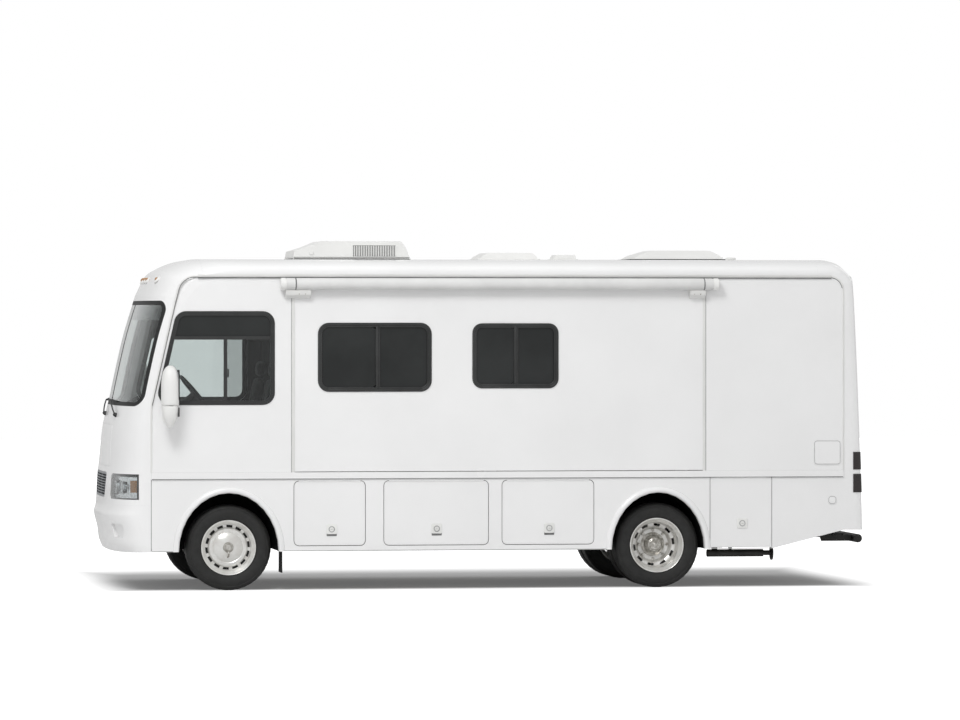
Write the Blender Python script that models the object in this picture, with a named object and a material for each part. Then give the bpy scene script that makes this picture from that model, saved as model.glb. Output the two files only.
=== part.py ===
# Small class A motorhome, modelled at full size in metres.
# The nose points to -X, the driver's side is -Y, +Z is up, and the tyres stand on z = 0.
# Stations run from the nose to the tail, heights from the ground, and offsets outward from the middle.

import bmesh
import bpy
import math
from mathutils import Matrix, Vector

# Overall sizes
BODY_LENGTH = 7.300
HITCH_REACH = 0.140
BODY_HALF = 1.220
ROOF_Z = 3.146
NOSE_FOOT_Z = 0.349
SKIRT_Z = 0.371
TAIL_SKIRT_Z = 0.545
RAIL_Z = 2.981
BELT_Z = 1.120
BELT_DEPTH = 0.060
BELT_PROUD = 0.012

# Shell
WALL = 0.050
ROOF_THICK = 0.090
GLASS_THICK = 0.012
SEAT_GAP = 0.0003
MOVING_GAP = 0.006
OVERRUN = 0.300
ROUND_STEPS = 4
PANE_STEPS = 2

# Front and tail curves of the shell
NOSE_RAKE = 0.910
TAIL_RAKE = 0.290
NOSE_PLAN_DEPTH = 0.360
TAIL_PLAN_DEPTH = 0.090
NOSE_PLAN_POWER = 2.6
TAIL_PLAN_POWER = 9.0
ROOF_ROLL = 0.165
ROOF_ROLL_POWER = 3.6
ROLL_START_SHARE = 0.85
# columns: share of the rake behind the nose, share of the height of the shell
NOSE_SHARES = (
    (0.093, 0.000), (0.054, 0.030), (0.036, 0.072), (0.000, 0.123), (0.021, 0.157), (0.036, 0.250),
    (0.054, 0.300), (0.093, 0.419), (0.158, 0.512), (0.223, 0.613), (0.314, 0.740), (0.425, 0.858),
    (0.456, 0.884), (0.548, 0.942), (0.665, 0.968), (0.821, 0.989), (1.000, 1.000),
)
# columns: share of the rake ahead of the tail, share of the height of the shell
TAIL_SHARES = (
    (1.000, 1.000), (0.760, 0.992), (0.550, 0.971), (0.390, 0.948), (0.320, 0.917), (0.170, 0.590),
    (0.017, 0.125), (0.017, 0.000),
)
# shares of half the width at which the shell has a section
SECTION_SHARES = (0.0, 0.35, 0.60, 0.78, 0.88, 0.94, 0.975, 0.993, 1.0)

# Seams of the panels, seen from the side
NOSE_SEAM = 0.417
SEAM_BEND_Z = 1.760
SEAM_UPPER = 0.628
SEAM_UPPER_Z = 2.690
SEAM_TOP = 0.700
SEAM_TOP_ROUND = 0.170
ROOF_FRONT = 0.904
ROOF_REAR = 6.836
TAIL_SEAM = 7.087
TAIL_SEAM_ROUND = 0.130
BUMPER_Z = 0.810
TAIL_SLOPE_START = 6.389

# Wheels
TYRE_RADIUS = 0.4055
TYRE_WIDTH = 0.226
RIM_RADIUS = 0.2605
RIM_WIDTH = 0.200
BEAD_RADIUS = 0.2525
FRONT_AXLE = 1.160
REAR_AXLE = 5.284
TRACK_HALF = 1.017
DUAL_SPACING = 0.267
TYRE_STEPS = 24
# columns: share of the way from bead to tread, share of half the width
TYRE_SHARES = (
    (0.00, -0.78), (0.12, -0.84), (0.48, -1.00), (0.85, -0.93), (1.00, -0.62),
    (1.00, 0.62), (0.85, 0.93), (0.48, 1.00), (0.12, 0.84), (0.00, 0.78),
)

# Arches: half ellipses that stand on the skirt's foot
ARCH_FRONT = 0.678
ARCH_BACK = 1.627
ARCH_TOP_Z = 0.925
REAR_ARCH_FRONT = 4.828
REAR_ARCH_BACK = 5.732
REAR_ARCH_TOP_Z = 0.913
ARCH_STEPS = 16
FLARE_WIDTH = 0.058
FLARE_PROUD = 0.020

# Bays and their doors
BIN_TOP_Z = 1.034
BIN_FOOT_Z = 0.426
BIN_ROUND = 0.045
HINGE_RADIUS = MOVING_GAP - SEAT_GAP
SERVICE_TOP_Z = 1.054
SERVICE_FOOT_Z = 0.385
FRONT_BIN_START = 1.774
FRONT_BIN_END = 2.451
MIDDLE_BIN_START = 2.633
MIDDLE_BIN_END = 3.633
REAR_BIN_START = 3.769
REAR_BIN_END = 4.651
SERVICE_START = 5.786
SERVICE_END = 6.383
SHORT_BIN_START = 2.800
BAY_SKIN = 0.012
BAY_FOOT_Z = 0.400
# columns: name, side (-1 driver's side), front and rear station, foot and top
BIN_TABLE = (
    ("bin_door_left_front", -1, FRONT_BIN_START, FRONT_BIN_END, BIN_FOOT_Z, BIN_TOP_Z),
    ("bin_door_left_middle", -1, MIDDLE_BIN_START, MIDDLE_BIN_END, BIN_FOOT_Z, BIN_TOP_Z),
    ("bin_door_left_rear", -1, REAR_BIN_START, REAR_BIN_END, BIN_FOOT_Z, BIN_TOP_Z),
    ("service_door_left", -1, SERVICE_START, SERVICE_END, SERVICE_FOOT_Z, SERVICE_TOP_Z),
    ("bin_door_right_front", 1, SHORT_BIN_START, MIDDLE_BIN_END, BIN_FOOT_Z, BIN_TOP_Z),
    ("bin_door_right_rear", 1, REAR_BIN_START, REAR_BIN_END, BIN_FOOT_Z, BIN_TOP_Z),
)

# Entry door on the right side
ENTRY_FRONT = 1.840
ENTRY_REAR = 2.520
ENTRY_FOOT_Z = 0.480
ENTRY_TOP_Z = 2.560
ENTRY_ROUND = 0.070
ENTRY_WINDOW_INSET = 0.120
ENTRY_WINDOW_FOOT_Z = 1.650
ENTRY_HINGE_OFF = 0.018
ENTRY_BARREL_RADIUS = 0.011
ENTRY_BARREL_HALF = 0.055
ENTRY_LEAF_WIDTH = 0.070
ENTRY_LEAF_THICK = 0.006
# shares of the door's height at which a hinge sits
ENTRY_HINGE_SHARES = (0.10, 0.50, 0.90)
STEP_DEPTH = 0.330
STEP_RISE = 0.300

# Floor
FLOOR_TOP_Z = 1.060
FLOOR_THICK = 0.090
FLOOR_FRONT = 0.450
FLOOR_REAR = 7.100

# Slide-out room
SLIDE_FRONT = 1.751
SLIDE_REAR = 5.739
SLIDE_TOP_Z = 2.895
SLIDE_DEPTH = 0.620
SLIDE_SKIN = 0.040
GLIDE_WIDTH = 0.035
GLIDE_LENGTH = 0.120

# Windows
WINDOW_FRAME = 0.045
WINDOW_PROUD = 0.008
WINDOW_DEPTH = 0.042
WINDOW_REVEAL = 0.012
PANE_THICK = 0.006
MULLION = 0.032

# Windshield
SHIELD_MARGIN = 0.055
SHIELD_HALF = BODY_HALF - SHIELD_MARGIN
SHIELD_FOOT_Z = 1.745
SHIELD_TOP_Z = 2.745
SHIELD_ROUND = 0.110
SHIELD_REACH = 1.100

# Cab side windows
CAB_WINDOW_FOOT = 0.451
CAB_WINDOW_TOP = 0.655
CAB_WINDOW_REAR = 1.589
CAB_WINDOW_FOOT_Z = 1.758
CAB_WINDOW_TOP_Z = 2.645
CAB_WINDOW_ROUND = 0.115
CAB_BAR_Z = 2.392
CAB_POST = 1.120

# House windows: a large and a small size, each used on both sides
LARGE_WIDTH = 1.090
LARGE_FOOT_Z = 1.881
LARGE_TOP_Z = 2.535
LARGE_ROUND = 0.105
LARGE_POST = 0.565
SMALL_WIDTH = 0.831
SMALL_FOOT_Z = 1.911
SMALL_TOP_Z = 2.530
SMALL_ROUND = 0.092
SMALL_POST = 0.420
SLIDE_LARGE_START = 1.999
SLIDE_SMALL_START = 3.480
WALL_LARGE_START = 2.900
WALL_SMALL_START = 5.300
# columns: name, front station, width, foot, top, corner radius, reach of the upright bar
SLIDE_WINDOW_TABLE = (
    ("slide_window_front", SLIDE_LARGE_START, LARGE_WIDTH, LARGE_FOOT_Z, LARGE_TOP_Z, LARGE_ROUND, LARGE_POST),
    ("slide_window_rear", SLIDE_SMALL_START, SMALL_WIDTH, SMALL_FOOT_Z, SMALL_TOP_Z, SMALL_ROUND, SMALL_POST),
)
# the right wall's windows, in the same columns
WALL_WINDOW_TABLE = (
    ("right_window_front", WALL_LARGE_START, LARGE_WIDTH, LARGE_FOOT_Z, LARGE_TOP_Z, LARGE_ROUND, LARGE_POST),
    ("right_window_rear", WALL_SMALL_START, SMALL_WIDTH, SMALL_FOOT_Z, SMALL_TOP_Z, SMALL_ROUND, SMALL_POST),
)

# Grille and headlamps
GRILLE_HALF_TOP = 0.560
GRILLE_HALF_FOOT = 0.470
GRILLE_TOP_Z = 1.110
GRILLE_FOOT_Z = 0.870
GRILLE_ROUND = 0.040
GRILLE_REACH = 0.400
GRILLE_DEPTH = 0.030
GRILLE_BARS = 5
GRILLE_BORDER = 0.020
GRILLE_BAR = 0.010

LAMP_INNER = 0.745
LAMP_REAR = 0.300
LAMP_TOP_Z = 1.105
LAMP_FOOT_Z = 0.865
LAMP_ROUND = 0.050
LAMP_DEPTH = 0.045

# Rear window
TAIL_WINDOW_HALF = 0.480
TAIL_WINDOW_FOOT_Z = 1.900
TAIL_WINDOW_TOP_Z = 2.400
TAIL_WINDOW_ROUND = 0.080

# Awning roller over the slide-out room
ROLLER_FRONT = 1.632
ROLLER_REAR = 5.857
ROLLER_Z = 2.917
ROLLER_RADIUS = 0.0575
ROLLER_OFF = 0.066
BRACKET_DROP = 0.150
BRACKET_WIDTH = 0.180
BRACKET_THICK = 0.030

# Chassis
RAIL_HALF = 0.430
BAY_CLEAR = 0.050
BAY_BACK = RAIL_HALF + BAY_CLEAR
RAIL_WIDTH = 0.070
RAIL_HEIGHT = 0.200
RAIL_SKIN = 0.008
RAIL_FRONT = 0.200
RAIL_REAR = 7.050
BEAM_WIDTH = 0.060
HANGER = 0.060
SPRING_LENGTH = 0.620
SPRING_WIDTH = 0.070
SPRING_THICK = 0.050
HITCH_Z = 0.435
HITCH_BAR = 0.060
HITCH_HALF = 0.550
HITCH_TUBE_RADIUS = 0.042
HITCH_TUBE_X = 7.386
HITCH_ARM = 0.016
# shares of the frame's length at which a cross member sits
BEAM_SHARES = (0.02, 0.29, 0.45, 0.62, 0.86, 0.98)

# Axles, springs and steering
SPRING_Z = 0.520
AXLE_RADIUS = 0.045
KINGPIN_OFF = 0.157
KINGPIN = TRACK_HALF - KINGPIN_OFF
KINGPIN_RADIUS = 0.025
STUB_SHARE = 0.9
KINGPIN_HALF = 0.080
DIFF_RADIUS = 0.170
# columns: share of the radius, share of the radius across
DIFF_SHARES = ((0.0, -0.7), (0.7, -0.6), (1.0, 0.0), (0.7, 0.6), (0.0, 0.7))
TUBE_RADIUS = 0.060
HUB_RADIUS = 0.090
SHAFT_RADIUS = 0.040
SHAFT_GAP = 0.003

# Engine and tank
ENGINE_FRONT = 0.450
ENGINE_REAR = 1.700
ENGINE_FOOT_Z = 0.500
ENGINE_SHAFT_Z = 0.600

TANK_FRONT = 6.020
TANK_REAR = 6.850
TANK_FOOT_Z = 0.560
TANK_ROUND = 0.060

# Wheel sections
WHEEL_DISC_OFF = 0.020
RIM_LIP = 0.008
RIM_TAPER = 1.5 * RIM_LIP
RIM_SKIN = 0.012
HUB_CAP_RADIUS = 0.055
CAP_FACE_SHARE = 0.7
HUB_FACE_SHARE = 0.55
HUB_CAP_REACH = 0.030
DISC_RADIUS = 0.190
DISC_BEND_SHARE = 0.8
DISC_THICK = 0.012
DUAL_PLATE = 0.012
DUAL_HUB_REACH = 0.150
HUB_NOSE_SHARE = 0.75
HUB_FLANK_SHARE = 0.8
DUAL_DISC_RADIUS = 0.150

# Mirrors
MIRROR_X = 0.578
MIRROR_OFF = 0.190
MIRROR_FOOT_Z = 1.546
MIRROR_TOP_Z = 2.133
MIRROR_HALF_X = 0.086
MIRROR_HALF_Y = 0.110
MIRROR_ARM_Z = 1.590
MIRROR_ARM_HALF = 0.045
MIRROR_ARM_TAPER = 0.7
MIRROR_STEPS = 16
# columns: share of the height, share of the half width: a tapered bulb under a tall head
MIRROR_SHARES = (
    (0.00, 0.12), (0.05, 0.42), (0.14, 0.70), (0.25, 0.88), (0.34, 0.90), (0.36, 0.82), (0.38, 0.97),
    (0.52, 1.00),
    (0.74, 0.97), (0.88, 0.82), (0.96, 0.56), (1.00, 0.22),
)

# Flaps behind the front wheels and folded levelling jacks behind the rear ones
FLAP_X = 1.656
FLAP_THICK = 0.012
FLAP_FOOT_Z = 0.167
FLAP_TOP_Z = 0.560
FLAP_WIDTH = 0.215
FLAP_STRAP_Z = 0.440
FLAP_STRAP_HALF = 0.030
JACK_FRONT = 5.800
JACK_REAR = 6.350
JACK_OFF = 0.980
JACK_Z = 0.320
JACK_RADIUS = 0.036
JACK_RAM_RADIUS = 0.024
JACK_FOOT_RADIUS = 0.070
JACK_FOOT_THICK = 0.014
JACK_RAM_REACH = 0.090
JACK_ARM_X = 5.985
JACK_ARM_HALF = 0.026
JACK_ARM_THICK = 0.016

# Roof units
AC_FRONT = 1.866
AC_REAR = 3.007
AC_HALF = 0.350
AC_TOP_Z = 3.323
# columns: share of the length, share of the height
AC_SHARES = ((0.0, 0.0), (0.014, 0.46), (0.130, 0.69), (0.249, 1.0), (0.919, 1.0), (0.967, 0.62), (1.0, 0.0))

SKYLIGHT_FRONT = 3.690
SKYLIGHT_LENGTH = 0.580
SKYLIGHT_HALF = 0.300
SKYLIGHT_RISE = 0.067
PIPE_COVER_FRONT = 4.450
PIPE_COVER_LENGTH = 0.230
PIPE_COVER_HALF = 0.110
PIPE_COVER_RISE = 0.050
VENT_FRONT = 5.185
VENT_LENGTH = 0.910
VENT_HALF = 0.350
VENT_RISE = 0.092
# columns: name, front, length, half width, rise over the roof, share of the length that slopes
ROOF_BOX_TABLE = (
    ("roof_skylight", SKYLIGHT_FRONT, SKYLIGHT_LENGTH, SKYLIGHT_HALF, SKYLIGHT_RISE, 0.16),
    ("roof_vent_front", PIPE_COVER_FRONT, PIPE_COVER_LENGTH, PIPE_COVER_HALF, PIPE_COVER_RISE, 0.10),
    ("roof_vent_rear", VENT_FRONT, VENT_LENGTH, VENT_HALF, VENT_RISE, 0.25),
)

# Cab
DASH_FRONT = 0.460
DASH_REAR = 0.760
DASH_TOP_Z = 1.720
DASH_FOOT_SHARE = 0.85
DASH_LIP_SHARE = 0.97
DASH_MARGIN = 0.120
WHEEL_X = 0.900
WHEEL_Z = 1.860
DRIVER_OFF = 0.550
STEER_RADIUS = 0.210
STEER_TUBE = 0.014
STEER_LEAN = 40
COLUMN_LENGTH = 0.300
COLUMN_RADIUS = 0.030

SEAT_FRONT = 1.130
SEAT_REAR = 1.700
SEAT_TOP_Z = 1.560
SEAT_BACK_Z = 2.180
SEAT_HALF = 0.250
SEAT_BACK_THICK = 0.130
SEAT_BACK_TAPER = 0.7
SEAT_RECLINE = 0.060


def station(value):
    """Station behind the nose, as an X place."""
    return value - (BODY_LENGTH + HITCH_REACH) / 2


def clear_scene():
    for item in list(bpy.data.objects):
        bpy.data.objects.remove(item)


def finish(name, colour, roughness, metallic=0.0):
    material = bpy.data.materials.get(name)
    if material is None:
        material = bpy.data.materials.new(name)
        material.use_nodes = True
        shader = material.node_tree.nodes["Principled BSDF"]
        shader.inputs["Base Color"].default_value = (*colour, 1.0)
        shader.inputs["Roughness"].default_value = roughness
        shader.inputs["Metallic"].default_value = metallic
    return material


def white_gelcoat():
    return finish("white_gelcoat", (0.80, 0.80, 0.80), 0.28)


def white_plastic():
    return finish("white_plastic", (0.78, 0.78, 0.77), 0.45)


def tinted_glass():
    return finish("tinted_glass", (0.02, 0.02, 0.02), 0.05)


def clear_lens():
    return finish("clear_lens", (0.75, 0.77, 0.80), 0.08)


def tyre_rubber():
    return finish("tyre_rubber", (0.025, 0.025, 0.025), 0.85)


def wheel_steel():
    return finish("wheel_steel", (0.55, 0.56, 0.57), 0.35, 0.9)


def chassis_paint():
    return finish("chassis_paint", (0.02, 0.02, 0.02), 0.6)


def black_plastic():
    return finish("black_plastic", (0.03, 0.03, 0.03), 0.5)


def seat_cloth():
    return finish("seat_cloth", (0.42, 0.40, 0.37), 0.9)


def floor_board():
    return finish("floor_board", (0.32, 0.29, 0.25), 0.8)


def as_object(name, mesh_work, material=None):
    """Turns a bmesh into an object whose faces point outward."""
    bmesh.ops.recalc_face_normals(mesh_work, faces=mesh_work.faces)
    mesh = bpy.data.meshes.new(name)
    mesh_work.to_mesh(mesh)
    mesh_work.free()
    item = bpy.data.objects.new(name, mesh)
    bpy.context.scene.collection.objects.link(item)
    if material is not None:
        mesh.materials.append(material)
    return item


def combine(base, tool, operation, solver="EXACT"):
    """Joins, cuts or crosses the base with a tool, and removes the tool."""
    modifier = base.modifiers.new(operation.lower(), "BOOLEAN")
    modifier.operation = operation
    modifier.solver = solver
    modifier.object = tool
    graph = bpy.context.evaluated_depsgraph_get()
    mesh = bpy.data.meshes.new_from_object(base.evaluated_get(graph))
    base.modifiers.clear()
    old = base.data
    base.data = mesh
    bpy.data.meshes.remove(old)
    bpy.data.objects.remove(tool)
    return base


def cut(base, tool, solver="EXACT"):
    return combine(base, tool, "DIFFERENCE", solver)


def add(base, tool, solver="EXACT"):
    return combine(base, tool, "UNION", solver)


def keep(base, tool):
    return combine(base, tool, "INTERSECT")


def copy_of(item, name, material=None):
    twin = item.copy()
    twin.data = item.data.copy()
    twin.name = name
    twin.data.materials.clear()
    if material is not None:
        twin.data.materials.append(material)
    bpy.context.scene.collection.objects.link(twin)
    return twin


def prism(outline, low, high, axis, name="blank", material=None):
    """Extrudes an outline along an axis: X takes (y, z), Y takes (x, z), Z takes (x, y)."""
    place = {
        "X": lambda a, b, c: (c, a, b),
        "Y": lambda a, b, c: (a, c, b),
        "Z": lambda a, b, c: (a, b, c),
    }[axis]
    work = bmesh.new()
    points = [work.verts.new(place(a, b, low)) for a, b in outline]
    face = work.faces.new(points)
    moved = bmesh.ops.extrude_face_region(work, geom=[face])["geom"]
    step = place(0.0, 0.0, high - low)
    corners = [part for part in moved if isinstance(part, bmesh.types.BMVert)]
    bmesh.ops.translate(work, verts=corners, vec=step)
    return as_object(name, work, material)


def block(x0, x1, y0, y1, z0, z1, name="blank", material=None):
    corners = ((x0, y0), (x1, y0), (x1, y1), (x0, y1))
    return prism(corners, z0, z1, "Z", name, material)


def rounded(a0, b0, a1, b1, radius, steps=ROUND_STEPS):
    """Rectangle with round corners."""
    centres = (
        (a1 - radius, b0 + radius, -90), (a1 - radius, b1 - radius, 0),
        (a0 + radius, b1 - radius, 90), (a0 + radius, b0 + radius, 180),
    )
    outline = []
    for a, b, start in centres:
        for step in range(steps + 1):
            angle = math.radians(start + 90 * step / steps)
            outline.append((a + radius * math.cos(angle), b + radius * math.sin(angle)))
    return outline


def rounded_corners(corners, radii, steps=ROUND_STEPS):
    """Polygon whose corners each get their own radius."""
    outline = []
    count = len(corners)
    for index, (corner, radius) in enumerate(zip(corners, radii)):
        if radius == 0:
            outline.append(corner)
            continue
        before = corners[index - 1]
        after = corners[(index + 1) % count]
        ways = []
        for other in (before, after):
            away = (other[0] - corner[0], other[1] - corner[1])
            length = math.hypot(*away)
            ways.append((away[0] / length, away[1] / length))
        half = math.acos(ways[0][0] * ways[1][0] + ways[0][1] * ways[1][1]) / 2
        reach = radius / math.tan(half)
        middle = (ways[0][0] + ways[1][0], ways[0][1] + ways[1][1])
        size = math.hypot(*middle)
        centre = tuple(corner[i] + middle[i] / size * radius / math.sin(half) for i in (0, 1))
        ends = [tuple(corner[i] + way[i] * reach for i in (0, 1)) for way in ways]
        angles = [math.atan2(end[1] - centre[1], end[0] - centre[0]) for end in ends]
        turn = (angles[1] - angles[0] + math.pi) % (2 * math.pi) - math.pi
        for step in range(steps + 1):
            angle = angles[0] + turn * step / steps
            outline.append((centre[0] + radius * math.cos(angle), centre[1] + radius * math.sin(angle)))
    return outline


def turned(profile, centre, steps, name="blank", material=None):
    """Turns a closed profile of (radius, y) points about the Y axis through a centre."""
    work = bmesh.new()
    points = [work.verts.new((radius, depth, 0.0)) for radius, depth in profile]
    edges = [work.edges.new((points[i], points[i - 1])) for i in range(len(points))]
    on_axis = [edge for edge in edges if all(point.co.x == 0 for point in edge.verts)]
    edges = [edge for edge in edges if edge not in on_axis]
    bmesh.ops.delete(work, geom=on_axis, context="EDGES_FACES")
    live = list(work.verts) + list(work.edges)
    bmesh.ops.spin(
        work, geom=live, cent=(0, 0, 0), axis=(0, 1, 0), angle=2 * math.pi, steps=steps, use_merge=True,
    )
    bmesh.ops.remove_doubles(work, verts=work.verts, dist=SEAT_GAP / 10)
    bmesh.ops.translate(work, verts=work.verts, vec=centre)
    return as_object(name, work, material)


def loft(rings, name="blank", material=None):
    """Skins rings of equal point counts and closes both ends."""
    work = bmesh.new()
    rows = [[work.verts.new(point) for point in ring] for ring in rings]
    count = len(rows[0])
    for low, high in zip(rows, rows[1:]):
        for index in range(count):
            after = (index + 1) % count
            work.faces.new((low[index], low[after], high[after], high[index]))
    work.faces.new(rows[0])
    work.faces.new(list(reversed(rows[-1])))
    return as_object(name, work, material)


def rod(start, end, radius, steps=12, name="blank", material=None):
    """Round bar between two points."""
    first = Vector(start)
    way = Vector(end) - first
    turn = way.to_track_quat("Z", "Y")
    rings = []
    for place in (first, first + way):
        ring = []
        for step in range(steps):
            angle = 2 * math.pi * step / steps
            ring.append(place + turn @ Vector((radius * math.cos(angle), radius * math.sin(angle), 0.0)))
        rings.append(ring)
    return loft(rings, name, material)


def shade(item, angle=35):
    item.data.shade_smooth()
    item.data.set_sharp_from_angle(angle=math.radians(angle))
    return item


def centred(item, place):
    """Moves an object's origin to its joint's axis and leaves its shape where it is."""
    item.data.transform(Matrix.Translation(-Vector(place)))
    item.location = place
    return item


def roll(share, power):
    """Round shoulder: 0 in the middle, 1 at the edge."""
    return 1 - (1 - min(share, 1.0) ** power) ** (1 / power)


def hull_solid(inset, roof_inset, foot):
    """The whole shell's volume: side outlines set across the width, drawn back and down towards the edges."""
    height = ROOF_Z - NOSE_FOOT_Z
    half = BODY_HALF - inset
    shares = [-share for share in reversed(SECTION_SHARES[1:])] + list(SECTION_SHARES)
    rings = []
    for share in shares:
        nose = NOSE_PLAN_DEPTH * roll(abs(share), NOSE_PLAN_POWER)
        tail = TAIL_PLAN_DEPTH * roll(abs(share), TAIL_PLAN_POWER)
        drop = ROOF_ROLL * roll(abs(share), ROOF_ROLL_POWER)
        ring = []
        for rake, tall in NOSE_SHARES:
            lower = max(0.0, (tall - ROLL_START_SHARE) / (1 - ROLL_START_SHARE))
            z = NOSE_FOOT_Z + tall * height - lower * (drop + roof_inset)
            ring.append((station(rake * NOSE_RAKE + nose + inset), share * half, z))
        for rake, tall in TAIL_SHARES:
            lower = max(0.0, (tall - ROLL_START_SHARE) / (1 - ROLL_START_SHARE))
            z = NOSE_FOOT_Z + tall * height - lower * (drop + roof_inset)
            ring.append((station(BODY_LENGTH - rake * TAIL_RAKE - tail - inset), share * half, z))
        ring.append((ring[-1][0], ring[-1][1], foot))
        ring.insert(0, (ring[0][0], ring[0][1], foot))
        rings.append(ring)
    return loft(rings)


def make_shell(inset, roof_inset):
    """The shell as one open-bottomed cover."""
    outer = hull_solid(0.0, 0.0, NOSE_FOOT_Z - OVERRUN / 10)
    inner = hull_solid(inset, roof_inset, NOSE_FOOT_Z - OVERRUN)
    return cut(outer, inner)


def nose_region():
    """Side outline of the front cap, down to the bumper's seam."""
    top = ROOF_Z + OVERRUN
    corners = [
        (station(-OVERRUN), BUMPER_Z + SEAT_GAP), (station(NOSE_SEAM), BUMPER_Z + SEAT_GAP),
        (station(NOSE_SEAM), SEAM_BEND_Z), (station(SEAM_UPPER), SEAM_UPPER_Z), (station(SEAM_TOP), RAIL_Z),
        (station(ROOF_FRONT), RAIL_Z),
        (station(ROOF_FRONT), top), (station(-OVERRUN), top),
    ]
    return rounded_corners(corners, (0, 0, 0, 0, SEAM_TOP_ROUND, 0, 0, 0))


def wall_region():
    gap = SEAT_GAP
    return rounded_corners(
        [
            (station(NOSE_SEAM) + gap, BELT_Z + gap), (station(TAIL_SEAM) - gap, BELT_Z + gap),
            (station(TAIL_SEAM) - gap, RAIL_Z - gap), (station(SEAM_TOP) + gap, RAIL_Z - gap),
            (station(SEAM_UPPER) + gap, SEAM_UPPER_Z), (station(NOSE_SEAM) + gap, SEAM_BEND_Z),
        ],
        (0, 0, TAIL_SEAM_ROUND, SEAM_TOP_ROUND, 0, 0),
    )


def tail_region():
    """Side outline of the rear cap."""
    top = ROOF_Z + OVERRUN
    rear = station(BODY_LENGTH + OVERRUN)
    corner = rounded_corners(
        [
            (station(TAIL_SEAM), TAIL_SKIRT_Z), (station(TAIL_SEAM), RAIL_Z), (station(ROOF_REAR), RAIL_Z),
            (station(ROOF_REAR), top), (rear, top), (rear, TAIL_SKIRT_Z),
        ],
        (0, TAIL_SEAM_ROUND, 0, 0, 0, 0),
    )
    return corner


def skirt_region():
    gap = SEAT_GAP
    return [
        (station(NOSE_SEAM) + gap, SKIRT_Z), (station(TAIL_SLOPE_START), SKIRT_Z),
        (station(TAIL_SEAM) - gap, TAIL_SKIRT_Z), (station(TAIL_SEAM) - gap, BELT_Z),
        (station(NOSE_SEAM) + gap, BELT_Z),
    ]


def side_prism(outline, side):
    """Prism through one side wall."""
    near = BODY_HALF - WALL - OVERRUN / 2
    far = BODY_HALF + OVERRUN
    low, high = sorted((side * near, side * far))
    return prism(outline, low, high, "Y")


def through_prism(outline):
    return prism(outline, -BODY_HALF - OVERRUN, BODY_HALF + OVERRUN, "Y")


def flat_window(name, side, outline, panes, face):
    """Window unit: a frame with its panes set back, in one piece."""
    outer = side * (face + WINDOW_PROUD)
    inner = side * (face - WINDOW_DEPTH)
    low, high = sorted((outer, inner))
    unit = prism(outline, low, high, "Y", name, tinted_glass())
    front = side * (face + WINDOW_PROUD - WINDOW_REVEAL)
    back = side * (face + WINDOW_PROUD - WINDOW_REVEAL - PANE_THICK)
    for pane in panes:
        for start, end in ((outer + side * OVERRUN, front), (back, inner - side * OVERRUN)):
            low, high = sorted((start, end))
            unit = cut(unit, prism(pane, low, high, "Y"), "MANIFOLD")
    return unit


def swept_arch(front, back, top, grow=0.0):
    """Wheel arch outline seen from the side."""
    middle = station((front + back) / 2)
    half = (back - front) / 2 + grow
    rise = top - SKIRT_Z + grow
    foot = SKIRT_Z - OVERRUN
    outline = [(middle - half, foot), (middle + half, foot)]
    for step in range(ARCH_STEPS + 1):
        angle = math.pi * step / ARCH_STEPS
        outline.append((middle + half * math.cos(angle), SKIRT_Z + rise * math.sin(angle)))
    return outline


def driver_window_outline(grow):
    """Outline of the cab's side window, whose front edge leans back."""
    corners = [
        (station(CAB_WINDOW_FOOT) - grow, CAB_WINDOW_FOOT_Z - grow),
        (station(CAB_WINDOW_REAR) + grow, CAB_WINDOW_FOOT_Z - grow),
        (station(CAB_WINDOW_REAR) + grow, CAB_WINDOW_TOP_Z + grow),
        (station(CAB_WINDOW_TOP) - grow, CAB_WINDOW_TOP_Z + grow),
    ]
    return rounded_corners(corners, [CAB_WINDOW_ROUND + grow] * 4)


def box_window(row, side, face):
    """Window unit of two panes from a table row."""
    name, front, width, foot, top, radius, reach = row
    rear = front + width
    post = front + reach
    frame = WINDOW_FRAME
    outline = rounded(station(front), foot, station(rear), top, radius)
    inner = max(radius - frame, frame / 2)
    bar = MULLION / 2
    low = foot + frame
    high = top - frame
    panes = [
        rounded(station(front) + frame, low, station(post) - bar, high, inner, PANE_STEPS),
        rounded(station(post) + bar, low, station(rear) - frame, high, inner, PANE_STEPS),
    ]
    return flat_window(name, side, outline, panes, face)


def box_window_hole(row):
    front, width, foot, top, radius = row[1:6]
    gap = SEAT_GAP
    return rounded(station(front) - gap, foot - gap, station(front + width) + gap, top + gap, radius + gap)


def cab_window(name, side):
    frame = WINDOW_FRAME
    bar = MULLION / 2
    inner = CAB_WINDOW_ROUND - frame
    lean = (CAB_WINDOW_TOP - CAB_WINDOW_FOOT) / (CAB_WINDOW_TOP_Z - CAB_WINDOW_FOOT_Z)
    front_foot = station(CAB_WINDOW_FOOT) + frame
    front_bar = front_foot + lean * (CAB_BAR_Z - CAB_WINDOW_FOOT_Z)
    front_top = front_foot + lean * (CAB_WINDOW_TOP_Z - CAB_WINDOW_FOOT_Z)
    rear = station(CAB_WINDOW_REAR) - frame
    post = station(CAB_POST)
    foot = CAB_WINDOW_FOOT_Z + frame
    top = CAB_WINDOW_TOP_Z - frame
    small = bar / 2
    panes = [
        rounded_corners(
            [(front_bar, CAB_BAR_Z + bar), (rear, CAB_BAR_Z + bar), (rear, top), (front_top, top)],
            (small, small, inner, inner), PANE_STEPS,
        ),
        rounded_corners(
            [(front_foot, foot), (post - bar, foot), (post - bar, CAB_BAR_Z - bar),
             (front_bar, CAB_BAR_Z - bar)],
            (inner, small, small, small), PANE_STEPS,
        ),
        rounded_corners(
            [(post + bar, foot), (rear, foot), (rear, CAB_BAR_Z - bar), (post + bar, CAB_BAR_Z - bar)],
            (small, inner, small, small), PANE_STEPS,
        ),
    ]
    return flat_window(name, side, driver_window_outline(0.0), panes, BODY_HALF)


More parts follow.
